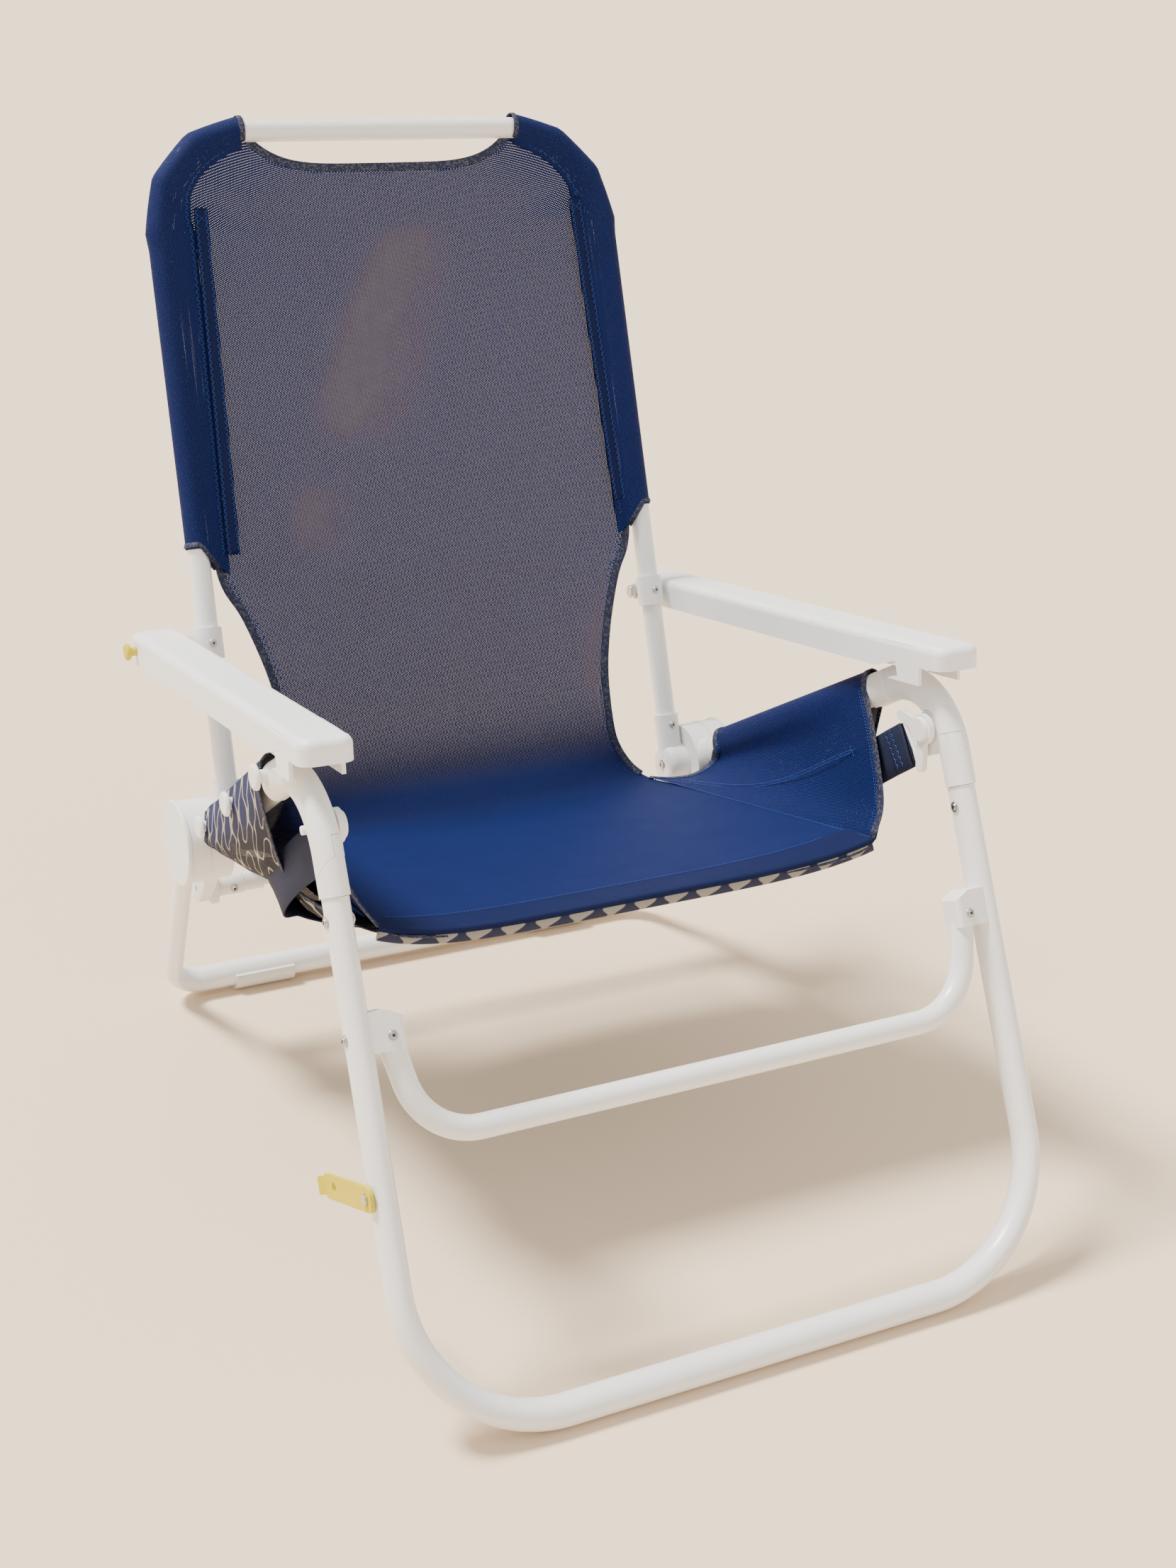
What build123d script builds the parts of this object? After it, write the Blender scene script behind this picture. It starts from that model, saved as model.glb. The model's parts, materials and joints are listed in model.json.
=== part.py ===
"""Low folding camp chair: three bent tube frames on plastic hubs and elbows, with a sling seat.

Frame of reference: millimetres, +X to the sitter's left, -Y to the front, +Z up.
The chair is open for sitting.  The origin is the middle of its footprint, on the floor.
"""
from build123d import *
from math import atan2, cos, degrees, hypot, radians, sin, tan
import os

# ---------------------------------------------------------------- driving dimensions
HUB_Y, HUB_Z = 199.6, 261.0            # axis on which the back and the rear legs turn
ELBOW_Y, ELBOW_Z = -197.4, 460.0       # axis on which the front legs turn
ARM_Y, ARM_Z = 310.6, 430.0            # axis of the bolts that carry the armrests
BACK_LEAN = 22.0                       # back frame, degrees behind vertical
REAR_LEAN = 28.4                       # rear legs, degrees behind vertical
FRONT_LEAN = 28.6                      # front legs, degrees ahead of vertical
ARM_RISE = 11.0                        # armrests, degrees of rise to the front
ARM_FLARE = 1.6                        # armrests, degrees of splay to the front

WALL = 1.4                             # wall of every bent tube
FIT = 0.05                             # play between a tube and its socket
RUN = 0.4                              # gap between pieces that move past each other

BACK_R = 11.0                          # back tube radius
BACK_FOOT_X, BACK_TOP_X = 258.6, 250.0 # back tube half spacing at the hub and at the top
BACK_TOP = 711.0                       # hub to the top bar
BACK_BEND = 100.0

RAIL_WIDE, RAIL_DEEP = 20.0, 31.0      # oval seat rail
RAIL_HUB_X, RAIL_ELBOW_X = 280.0, 311.0
RAIL_END_Y, RAIL_END_Z = -96.4, 459.0  # where the rail enters the elbow

REAR_R = 14.0                          # rear floor bar radius
REAR_LEG_WIDE, REAR_LEG_DEEP = 18.0, 30.0
REAR_TOP_X, REAR_FOOT_X = 305.8, 290.0
REAR_BEND = 38.0
PAD_THICK = 3.5

FRONT_R = 14.5                         # front floor bar radius
FRONT_LEG_WIDE, FRONT_LEG_DEEP = 22.0, 33.0
FRONT_TOP_X, FRONT_FOOT_X = 315.4, 320.0
FRONT_OFFSET = 19.4                    # the legs stand this far ahead of the elbow axis
FRONT_BEND = 130.0
KNUCKLE_DROP = 58.4                    # elbow axis to the top of the leg tube

CROSS_R = 11.0                         # stretcher between the front legs
CROSS_TOP_X, CROSS_LOW_X = 292.0, 273.0
CROSS_TOP, CROSS_LOW, CROSS_BEND = 172.0, 269.0, 62.0

CROSS_Y, CROSS_Z, CROSS_TUBE_R = 249.6, 177.0, 7.5   # tube that ties the hubs together

STUD_RUNS = (72.0, 222.0, 372.0)       # accessory studs: two on each rail, one on the elbow
STUD_REACH, STUD_LIFT = 24.0, 4.0      # head beyond the rail's centre line, and above it
STUD_R, STUD_HEAD_R, STUD_HEAD = 5.8, 11.8, 4.0

HUB_R = 43.0
BALL_R = 23.0
PIN_R = 6.0
SOCKET_X = (246.5, 270.2)              # lanes of the hub along X, from inside outwards
HOUSING_X = (270.6, 295.4)
DRUM_X = (295.8, 315.4)
CAP_X = (315.4, 319.6)

ELBOW_X = (303.0, 328.0)               # the elbow and the knuckle share this width
LAP_X = 315.5                          # the elbow's tongue lies outside it, the knuckle inside
ELBOW_DEEP, ELBOW_BEND = 35.5, 75.0
TONGUE_R, BOSS_R, SPLIT_DROP = 45.0, 17.0, 8.0

ARM_LENGTH, ARM_TAIL = 567.0, 24.0
ARM_INNER_X, ARM_WIDE = 273.6, 49.0
ARM_TOP, ARM_SKIRT, ARM_WALL = 16.5, -14.5, 3.5

STRAP_DROP, STRAP_LENGTH, STRAP_WIDE, STRAP_THICK = 306.0, 118.0, 22.0, 3.4
STRAP_DIP = 27.0                       # closing strap, degrees below level

PAN_BACK, PAN_FRONT = (184.0, 246.0), (-160.0, 318.0)   # back and front edges of the seat, as Y and Z
PAN_HALF_BACK, PAN_HALF_MID, PAN_HALF_FRONT = 205.0, 254.0, 263.0
WING_INSET, WING_TILT = 22.0, 8.0      # the wings stand inside the rails and lean in at the foot

# ---------------------------------------------------------------- worked-out places
RAIL_RISE = degrees(atan2(RAIL_END_Z - HUB_Z, HUB_Y - RAIL_END_Y))
RAIL_RUN = hypot(RAIL_END_Z - HUB_Z, HUB_Y - RAIL_END_Y)
REAR_DROP = (HUB_Z - REAR_R - PAD_THICK) / cos(radians(REAR_LEAN))
FRONT_DROP = (ELBOW_Z - FRONT_R + FRONT_OFFSET * sin(radians(FRONT_LEAN))) / cos(radians(FRONT_LEAN))
FRONT_SPLAY = (FRONT_FOOT_X - FRONT_TOP_X) / (FRONT_DROP - KNUCKLE_DROP)
REAR_SPLAY = (REAR_FOOT_X - REAR_TOP_X) / (REAR_DROP - 28)


def on_back(shape):
    """Place a shape drawn upright about the hub axis onto the leaning back."""
    return Pos(0, HUB_Y, HUB_Z) * Rot(-BACK_LEAN, 0, 0) * shape


def on_rear(shape):
    """Place a shape drawn hanging from the hub axis onto the rear legs."""
    return Pos(0, HUB_Y, HUB_Z) * Rot(REAR_LEAN, 0, 0) * shape


def on_front(shape):
    """Place a shape drawn hanging from the elbow axis onto the front legs."""
    return Pos(0, ELBOW_Y, ELBOW_Z) * Rot(-FRONT_LEAN, 0, 0) * shape


def on_arm(shape):
    """Place a shape drawn along -Y from the armrest bolt onto the left-hand armrest."""
    return Pos(0, ARM_Y, ARM_Z) * Rot(-ARM_RISE, 0, 0) * shape


def flip(shape):
    """The same piece for the other side of the chair."""
    return mirror(shape, about=Plane.YZ)


def x_cylinder(radius, x0, x1, y=0.0, z=0.0):
    """A cylinder along X from x0 to x1."""
    return Pos((x0 + x1) / 2, y, z) * Rot(0, 90, 0) * Cylinder(radius, abs(x1 - x0))


def block(x0, x1, y0, y1, z0, z1):
    """A box given by its six faces."""
    return Pos((x0 + x1) / 2, (y0 + y1) / 2, (z0 + z1) / 2) * Box(x1 - x0, y1 - y0, z1 - z0)


def rod(start, end, radius):
    """A round bar between two points."""
    a, b = Vector(*start), Vector(*end)
    plane = Plane(origin=a, z_dir=b - a)
    return extrude(plane * Circle(radius), (b - a).length)


def hollow(start, end, radius, wall=WALL):
    """A round tube between two points."""
    a, b = Vector(*start), Vector(*end)
    plane = Plane(origin=a, z_dir=b - a)
    return extrude(plane * (Circle(radius) - Circle(radius - wall)), (b - a).length)


def bent_tube(points, bend, radius, wall=WALL):
    """A round tube along straight runs joined by bends."""
    path = FilletPolyline(*points, radius=bend)
    plane = Plane(origin=path @ 0, z_dir=path % 0)
    return sweep(plane * (Circle(radius) - Circle(radius - wall)), path=path)


def swaged_half(top_x, foot_x, top, drop, y, bend, wide, deep, radius):
    """Half of a leg frame: an oval leg that turns round through the bend into the floor bar."""
    lean = atan2(foot_x - top_x, drop - top)
    path = FilletPolyline((top_x, y, -top), (foot_x, y, -drop), (0, y, -drop), radius=bend)
    runs = path.edges()
    leg_run, bend_run, bar_run = runs[0], runs[1], runs[2]
    oval = Plane(origin=leg_run @ 0, x_dir=(0, 1, 0), z_dir=leg_run % 0) * Ellipse(deep / 2, wide / 2)
    oval_low = Plane(origin=leg_run @ 1, x_dir=(0, 1, 0), z_dir=leg_run % 1) * Ellipse(deep / 2, wide / 2)
    ring = Plane(origin=bend_run @ 1, x_dir=(0, 1, 0), z_dir=bend_run % 1) * Ellipse(radius + 0.001, radius)
    leg = sweep(oval, path=leg_run)
    turn = sweep([oval_low, ring], path=bend_run, multisection=True)
    bar = sweep(ring, path=bar_run)
    return leg + turn + bar


def leg_frame(top_x, foot_x, top, drop, y, bend, wide, deep, radius):
    """A hollow leg frame with oval legs and a round floor bar."""
    half = swaged_half(top_x, foot_x, top, drop, y, bend, wide, deep, radius)
    bore = swaged_half(top_x, foot_x, top, drop, y, bend, wide - 2 * WALL, deep - 2 * WALL, radius - WALL)
    half = half - bore
    return half + flip(half)


# ---------------------------------------------------------------- back frame
def back_tube():
    """The bent tube of the back, whose bare top bar is the carrying handle."""
    ends = 30.0
    points = [(-BACK_FOOT_X, 0, ends), (-BACK_TOP_X, 0, BACK_TOP), (BACK_TOP_X, 0, BACK_TOP), (BACK_FOOT_X, 0, ends)]
    return on_back(bent_tube(points, BACK_BEND, BACK_R))


def back_x(s):
    """Half spacing of the back tubes at a distance from the hub."""
    return BACK_FOOT_X + (BACK_TOP_X - BACK_FOOT_X) / (BACK_TOP - 30.0) * (s - 30.0)


def back_line(along, grow=0.0):
    """The left-hand back tube's straight run between two distances from the hub."""
    ends = [(back_x(s), 0, s) for s in along]
    return rod(ends[0], ends[1], BACK_R + grow)


def back_socket():
    """Round knuckle that holds the foot of the back tube and turns on the hub pin."""
    ball = x_cylinder(BALL_R, *SOCKET_X)
    inner_rim = ball.edges().filter_by(GeomType.CIRCLE).sort_by(Axis.X)[0]
    ball = fillet(inner_rim, 8)
    sleeve = back_line((0, 56), 2.6) & block(240, SOCKET_X[1], -20, 20, 0, 60)
    body = ball + sleeve
    body = body - back_line((30, 70), FIT)
    return on_back(body - x_cylinder(PIN_R + FIT, 240, 280))


def arm_clamp():
    """Sleeve on the back tube with a lug behind it that carries the armrest bolt."""
    low, high = 181.0, 213.0
    sleeve = back_line((low, high), 3.2)
    mid_y = ARM_Y - HUB_Y
    mid_z = ARM_Z - HUB_Z
    lean = radians(BACK_LEAN)
    lug_n = mid_y * cos(lean) - mid_z * sin(lean)
    lug_s = mid_y * sin(lean) + mid_z * cos(lean)
    lug_x = (258.0, 270.4)
    lug = block(*lug_x, 0, lug_n, lug_s - 9, lug_s + 9) + x_cylinder(9, *lug_x, lug_n, lug_s)
    body = sleeve + lug - back_line((low - 5, high + 5), FIT)
    return on_back(body - x_cylinder(4 + FIT, 240, 290, lug_n, lug_s))


def back_screws():
    """Screw heads on the front of the sockets and of the arm clamps."""
    screws = []
    for side in (1, -1):
        for s, out in ((197.0, 3.2), (44.0, 2.6)):
            x = back_x(s)
            head_y = -(BACK_R + out)
            screws.append(on_back(Pos(side * x, head_y - 0.8, s) * Rot(90, 0, 0) * Cylinder(3.2, 1.5)))
    return Compound(children=screws)


def sling_back():
    """Plain solid of the mesh panel between the back tubes."""
    half_low, half_high = 236.0, 233.0
    outline = Polyline((-185, 40), (-185, 130), (-half_low, 290), (-half_high, 600), (-150, 690),
                       (-110, 675), (110, 675), (150, 690), (half_high, 600), (half_low, 290),
                       (185, 130), (185, 40), close=True)
    panel = extrude(Plane.XZ * make_face(outline), 1.5, both=True)
    return on_back(panel)


def sling_sleeve():
    """Plain solid of the fabric sleeve that wraps one back tube."""
    sleeve = back_line((300, 600), 1.6) - back_line((290, 610), RUN)
    return on_back(sleeve)


# ---------------------------------------------------------------- hub, rails and seat frame
def rail_point(run):
    """A point of the left-hand rail's centre line at a distance from the hub, seen from the side."""
    part = run / RAIL_RUN
    return (
        RAIL_HUB_X + part * (RAIL_ELBOW_X - RAIL_HUB_X),
        HUB_Y + part * (RAIL_END_Y - HUB_Y),
        HUB_Z + part * (RAIL_END_Z - HUB_Z),
    )


def rail_bar(run0, run1, grow=0.0):
    """An oval bar along the left-hand rail, thicker than the rail by an amount all round."""
    start, end = Vector(*rail_point(run0)), Vector(*rail_point(run1))
    upward = (0, sin(radians(RAIL_RISE)), cos(radians(RAIL_RISE)))
    plane = Plane(origin=start, x_dir=upward, z_dir=end - start)
    return extrude(plane * Ellipse(RAIL_DEEP / 2 + grow, RAIL_WIDE / 2 + grow), (end - start).length)


def seat_rail():
    """Straight oval tube from the hub housing up to the elbow."""
    ends = (24, RAIL_RUN + 22)
    return rail_bar(*ends) - rail_bar(*ends, -WALL)


def rail_housing():
    """Middle disc of the hub with the rail's socket and the lug down to the cross tube."""
    disc = x_cylinder(HUB_R - 1, *HOUSING_X, HUB_Y, HUB_Z)
    socket = rail_bar(40, 58, 1.4)
    lug_x = (272.0, 284.0)
    lug_line = Polyline((HUB_Y - 10, HUB_Z - 30), (HUB_Y + 36, HUB_Z - 20), (CROSS_Y + 13.8, CROSS_Z + 2),
                        (CROSS_Y - 12, CROSS_Z - 7), close=True)
    lug = extrude(Plane.YZ.offset(lug_x[0]) * make_face(lug_line), lug_x[1] - lug_x[0])
    lug += x_cylinder(14, *lug_x, CROSS_Y, CROSS_Z)
    body = disc + socket + lug
    body = body - rail_bar(24, 90, FIT)
    body = body - x_cylinder(PIN_R + FIT, 260, 300, HUB_Y, HUB_Z)
    return body - x_cylinder(4 + FIT, 260, 290, CROSS_Y, CROSS_Z)


def hub_pin():
    """Steel bolt through socket, housing and drum, with its head inside the chair."""
    shaft = x_cylinder(PIN_R, SOCKET_X[0], DRUM_X[1] - 4, HUB_Y, HUB_Z)
    head = x_cylinder(4.6, SOCKET_X[0] - 2.2, SOCKET_X[0], HUB_Y, HUB_Z)
    hex_hole = extrude(Plane.YZ.offset(SOCKET_X[0] - 2.2) * (Pos(HUB_Y, HUB_Z) * RegularPolygon(2.3, 6)), 1.6)
    return shaft + head - hex_hole


def cross_tube():
    """Thin tube that ties the two hub housings together under the seat."""
    return hollow((-262, CROSS_Y, CROSS_Z), (262, CROSS_Y, CROSS_Z), CROSS_TUBE_R, 1.2)


def cross_fitting():
    """Plastic end of the cross tube: flange, sleeve, ring groove and a collar with a short stub."""
    sleeve = x_cylinder(11.5, 234, 271.7, CROSS_Y, CROSS_Z)
    collar = x_cylinder(10.4, 212, 234, CROSS_Y, CROSS_Z)
    groove = x_cylinder(12, 236.5, 237.7, CROSS_Y, CROSS_Z) - x_cylinder(10.7, 236, 238, CROSS_Y, CROSS_Z)
    stub = Pos(220, CROSS_Y, CROSS_Z + 13) * Cylinder(5.2, 12)
    flange = block(264, 271.7, CROSS_Y - 17, CROSS_Y + 17, CROSS_Z - 14, CROSS_Z + 16)
    flange = fillet(flange.edges().filter_by(Axis.X), 6)
    body = sleeve + collar + stub + flange - groove
    return body - x_cylinder(CROSS_TUBE_R + FIT, 200, 262, CROSS_Y, CROSS_Z)


def elbow_path():
    """Centre line of the elbow from the rail's end round to the leg, in the side plane."""
    rise, lean = radians(RAIL_RISE), radians(FRONT_LEAN)
    rail_dir = Vector(0, -cos(rise), sin(rise))
    leg_up = Vector(0, sin(lean), cos(lean))
    start = Vector(0, RAIL_END_Y, RAIL_END_Z)
    leg_foot = Vector(0, ELBOW_Y, ELBOW_Z)
    leg_foot += Vector(0, -cos(lean), sin(lean)) * FRONT_OFFSET - leg_up * KNUCKLE_DROP
    gap = leg_foot - start
    across = rail_dir.Y * leg_up.Z - rail_dir.Z * leg_up.Y
    reach = (gap.Y * leg_up.Z - gap.Z * leg_up.Y) / across
    corner = start + rail_dir * reach
    x = (ELBOW_X[0] + ELBOW_X[1]) / 2
    points = [(x, p.Y, p.Z) for p in (start, corner, leg_foot)]
    return FilletPolyline(*points, radius=ELBOW_BEND)


def elbow_blank(grow=0.0):
    """The elbow and knuckle as one rounded bar, before they are split."""
    path = elbow_path()
    wide = ELBOW_X[1] - ELBOW_X[0] + 2 * grow
    section = Ellipse(wide / 2, ELBOW_DEEP / 2 + grow)
    return sweep(Plane(origin=path @ 0, x_dir=(1, 0, 0), z_dir=path % 0) * section, path=path)


def below_elbow(z_top, x0, x1):
    """The space on the leg's side of the elbow, from a given height under the axis."""
    return on_front(block(x0, x1, -80, 60, -120, z_top))


def elbow_disc(radius, x0, x1):
    """A disc about the elbow axis."""
    return x_cylinder(radius, x0, x1, ELBOW_Y, ELBOW_Z)


def upper_elbow():
    """Elbow fixed to the rail, with a round-ended tongue down the outside of the knuckle."""
    wide = (ELBOW_X[0] - 5, ELBOW_X[1] + 5)
    rail_grip = rail_bar(RAIL_RUN - 4, RAIL_RUN + 24, 1.6)
    blank = elbow_blank() + rail_grip
    inner_cut = below_elbow(-SPLIT_DROP + RUN, wide[0] - 30, LAP_X + 0.3) + elbow_disc(BOSS_R + RUN, wide[0], LAP_X + 0.3)
    outer_cut = below_elbow(0, LAP_X - 1, wide[1]) - elbow_disc(TONGUE_R, LAP_X - 2, wide[1] + 1)
    body = blank - inner_cut - outer_cut
    body = body - elbow_disc(4 + FIT, ELBOW_X[0] - 5, ELBOW_X[1] + 5)
    body = body - rail_bar(RAIL_RUN - 10, RAIL_RUN + 22, FIT)
    return body.solids().sort_by(SortBy.VOLUME)[-1]


def knuckle():
    """Lower knuckle, fixed on the leg tube and turning on the elbow pin inside the tongue."""
    wide = (ELBOW_X[0] - 5, ELBOW_X[1] + 5)
    lap = LAP_X - 0.1
    neck = below_elbow(-SPLIT_DROP, wide[0], wide[1])
    body = elbow_blank() & neck
    body = body - (elbow_disc(TONGUE_R + RUN, lap, wide[1] + 1))
    boss = elbow_disc(BOSS_R, ELBOW_X[0], lap)
    web = on_front(block(ELBOW_X[0] + 1, lap, -FRONT_OFFSET - 8, BOSS_R - 5, -26, -SPLIT_DROP))
    spigot = on_front(Pos(FRONT_TOP_X + 0.3, -FRONT_OFFSET, -KNUCKLE_DROP - 17) * Rot(0, 0, 90)
                      * extrude(Ellipse(FRONT_LEG_DEEP / 2 - WALL - 1, FRONT_LEG_WIDE / 2 - WALL - 1), 19, both=True))
    body = body + boss + web + spigot
    return body - elbow_disc(4 + FIT, ELBOW_X[0] - 5, ELBOW_X[1] + 5)


def elbow_pin():
    """Steel pin of the elbow with a shallow head on the outside."""
    return elbow_disc(4, 292.0, ELBOW_X[1] - 3)


def tongue_button():
    """Flush plastic cap over the pin's outer end."""
    return elbow_disc(3.9, ELBOW_X[1] - 2.9, ELBOW_X[1] + 0.3)


def latch():
    """Release lever inside the elbow: plate with two lobes and a bar for the pull strap."""
    x0, x1 = 294.5, 300.0
    plate = elbow_disc(15, x0, x1)
    lobes = ((35.0, 1.0), (-5.0, -37.0))
    for dy, dz in lobes:
        y, z = ELBOW_Y + dy, ELBOW_Z + dz
        plate += x_cylinder(5.5, x0, x1, y, z)
        plate += Pos((x0 + x1) / 2, ELBOW_Y + dy / 2, ELBOW_Z + dz / 2) * Rot(
            degrees(atan2(dz, dy)), 0, 0) * Box(x1 - x0, hypot(dy, dz), 11)
    ends = [(x0 + 2.5, ELBOW_Y + dy, ELBOW_Z + dz) for dy, dz in lobes]
    bar = rod(ends[0], ends[1], 2.2)
    cap = elbow_disc(12, 291.0, x0)
    rim = cap.edges().filter_by(GeomType.CIRCLE).sort_by(Axis.X)[0]
    cap = fillet(rim, 1.6)
    body = plate + bar + cap
    return body - elbow_disc(4 + FIT, 292.0 - 0.2, 305)


def accessory_studs():
    """Three mushroom studs on the outside of a rail and its elbow, for hanging accessories."""
    lift = Vector(0, sin(radians(RAIL_RISE)), cos(radians(RAIL_RISE))) * STUD_LIFT
    studs = []
    for run in STUD_RUNS:
        x, y, z = Vector(*rail_point(run)) + lift
        head_x = x + STUD_REACH
        stem = x_cylinder(STUD_R, x, head_x, y, z)
        base = elbow_blank(0.02) if run > RAIL_RUN else rail_bar(run - 30, run + 30, 0.02)
        stem = (stem - base).solids().sort_by(Axis.X)[-1]
        head = x_cylinder(STUD_HEAD_R, head_x, head_x + STUD_HEAD, y, z)
        head = fillet(head.edges().filter_by(GeomType.CIRCLE).sort_by(Axis.X)[-1], 3.0)
        studs.append(stem + head)
    return Compound(children=studs)


def seat_screws():
    """Screws through the cross-tube fittings."""
    screws = []
    for side in (1, -1):
        screws.append(Pos(side * 246, CROSS_Y - 11.5 - 0.8, CROSS_Z) * Rot(90, 0, 0) * Cylinder(3.4, 1.5))
    return Compound(children=screws)


# ---------------------------------------------------------------- sling seat and pull strap
def seat_pan():
    """Plain solid of the sling's seat."""
    (yb, zb), (yf, zf) = PAN_BACK, PAN_FRONT
    slope = atan2(zf - zb, yb - yf)
    length = hypot(zf - zb, yb - yf)
    right = [(PAN_HALF_FRONT, -length), (PAN_HALF_MID, -60), (PAN_HALF_BACK, 0)]
    left = [(-x, y) for x, y in reversed(right)]
    pan = extrude(make_face(Polyline(*right, *left, close=True)), 1.5, both=True)
    return Pos(0, yb, zb) * Rot(-degrees(slope), 0, 0) * pan


def seat_wing():
    """Plain solid of the fabric between the seat and one rail."""
    inward = Vector(-WING_INSET, 0, 0)
    along = (Vector(*rail_point(RAIL_RUN)) - Vector(*rail_point(0))).normalized()
    down = Vector(-sin(radians(WING_TILT)), 0, -cos(radians(WING_TILT)))
    top_back = Vector(*rail_point(95)) + inward
    top_front = Vector(*rail_point(345)) + inward
    corners = [top_back, top_front, top_front + along * 72 + down * 148, top_back + down * 36]
    wing = make_face(Polyline(*corners, close=True))
    return extrude(wing, 1.0, both=True)


def pull_strap():
    """Webbing strap between the two release levers, slack under the seat."""
    wide, thick = 36.0, 1.8
    twist = Vector(0, -0.73, -0.69)
    level = Vector(0, -1, 0)
    right = [
        ((297, -174.5, 433), twist), ((290, -152, 385), twist * 0.7 + level * 0.3),
        ((281, -131, 337), twist * 0.3 + level * 0.7), ((274.4, -114, 302), level),
        ((262, -101, 290), level), ((130, -86, 281), level), ((0, -80, 277), level),
    ]
    left = [((-p[0], p[1], p[2]), across) for p, across in right[-2::-1]]
    stations = right + left
    centres = [Vector(*p) for p, across in stations]
    sections = []
    for i, (point, across) in enumerate(stations):
        ahead = centres[min(i + 1, len(centres) - 1)] - centres[max(i - 1, 0)]
        sections.append(Plane(origin=centres[i], x_dir=across, z_dir=ahead) * Rectangle(wide, thick))
    return loft(sections, ruled=True)


# ---------------------------------------------------------------- rear legs
def rear_leg_tube():
    """Rear U frame: oval legs and a round floor bar."""
    return on_rear(leg_frame(REAR_TOP_X, REAR_FOOT_X, 28, REAR_DROP, 0, REAR_BEND,
                             REAR_LEG_WIDE, REAR_LEG_DEEP, REAR_R))


def rear_leg_solid(grow):
    """The upper end of the left-hand rear leg as a solid bar."""
    ends = [Vector(REAR_TOP_X + REAR_SPLAY * (s - 28), 0, -s) for s in (28, 100)]
    plane = Plane(origin=ends[0], x_dir=(0, 1, 0), z_dir=ends[1] - ends[0])
    oval = Ellipse(REAR_LEG_DEEP / 2 + grow, REAR_LEG_WIDE / 2 + grow)
    return extrude(plane * oval, 72)


def hub_drum():
    """Outer drum of the hub, with the socket of the rear leg."""
    body = x_cylinder(HUB_R, *DRUM_X) - rear_leg_solid(FIT)
    return on_rear(body - x_cylinder(PIN_R + FIT, 290, DRUM_X[1] - 3.9))


def hub_cap():
    """Flat round cap on the outside of the drum."""
    cap = x_cylinder(HUB_R + 1.5, *CAP_X)
    cap = fillet(cap.edges().filter_by(GeomType.CIRCLE).sort_by(Axis.X)[-1], 1.8)
    return on_rear(cap)


def foot_pad():
    """Pad wrapped under the rear floor bar."""
    x0, x1 = 151.0, 220.0
    upright = Rot(-REAR_LEAN, 0, 0)
    pad = x_cylinder(REAR_R + PAD_THICK + 1.2, x0, x1) - x_cylinder(REAR_R + FIT, x0 - 1, x1 + 1)
    pad = pad - upright * block(x0 - 1, x1 + 1, -30, 30, 5, 30)
    pad = pad - upright * block(x0 - 1, x1 + 1, -30, 30, -30, -REAR_R - PAD_THICK)
    return on_rear(Pos(0, 0, -REAR_DROP) * pad)


# ---------------------------------------------------------------- front legs
def front_x(s):
    """Half spacing of the front legs at a distance below the elbow axis."""
    return FRONT_TOP_X + FRONT_SPLAY * (s - KNUCKLE_DROP)


def front_leg_tube():
    """Front U frame: oval legs and a round floor bar."""
    return on_front(leg_frame(FRONT_TOP_X, FRONT_FOOT_X, KNUCKLE_DROP + RUN, FRONT_DROP, -FRONT_OFFSET,
                              FRONT_BEND, FRONT_LEG_WIDE, FRONT_LEG_DEEP, FRONT_R))


def front_leg_solid(grow):
    """The left-hand front leg near the stretcher bracket as a solid bar."""
    ends = [Vector(front_x(s), -FRONT_OFFSET, -s) for s in (120, 240)]
    plane = Plane(origin=ends[0], x_dir=(0, 1, 0), z_dir=ends[1] - ends[0])
    oval = Ellipse(FRONT_LEG_DEEP / 2 + grow, FRONT_LEG_WIDE / 2 + grow)
    return extrude(plane * oval, 120)


def crossbar_points():
    """Corners of the stretcher in the plane of the front legs."""
    y = -FRONT_OFFSET
    return [(-CROSS_TOP_X, y, -CROSS_TOP), (-CROSS_LOW_X, y, -CROSS_LOW),
            (CROSS_LOW_X, y, -CROSS_LOW), (CROSS_TOP_X, y, -CROSS_TOP)]


def crossbar():
    """U-shaped stretcher that hangs between the front legs."""
    return on_front(bent_tube(crossbar_points(), CROSS_BEND, CROSS_R))


def crossbar_bracket():
    """Block between the leg and the stretcher's end, with a slanted top."""
    y = -FRONT_OFFSET
    body = block(278.5, 314.0, y - 14, y + 14, -190, -156)
    body = fillet(body.edges().filter_by(Axis.Z), 5)
    slope = Pos(278.5, y, -156) * Rot(0, -28, 0) * Box(60, 60, 14)
    ends = crossbar_points()
    bore = rod(ends[3], ends[2], CROSS_R + FIT)
    return on_front(body - slope - bore - front_leg_solid(FIT))


def front_screws():
    """Screw heads of the front legs: knuckles, brackets and stretcher ends."""
    screws = []
    for side in (1, -1):
        for s in (78.0, 176.0):
            x = front_x(s) + FRONT_LEG_WIDE / 2
            inner = x - FRONT_LEG_WIDE
            screws.append(on_front(x_cylinder(4.0, side * (x + 0.2), side * (x + 1.5), -FRONT_OFFSET, -s)))
            if s < 100:
                screws.append(on_front(x_cylinder(4.0, side * (inner - 1.5), side * (inner - 0.2), -FRONT_OFFSET, -s)))
        screws.append(on_front(Pos(side * 291, -FRONT_OFFSET - 14.8, -178) * Rot(90, 0, 0) * Cylinder(3.4, 1.5)))
    return Compound(children=screws)


# ---------------------------------------------------------------- closing strap on the right-hand leg
def strap_root():
    """Where the closing strap is screwed to the outside of the leg."""
    x = front_x(STRAP_DROP) + FRONT_LEG_WIDE / 2
    lean = radians(FRONT_LEAN)
    y = ELBOW_Y - FRONT_OFFSET * cos(lean) - STRAP_DROP * sin(lean)
    z = ELBOW_Z + FRONT_OFFSET * sin(lean) - STRAP_DROP * cos(lean)
    return x, y, z


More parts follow.
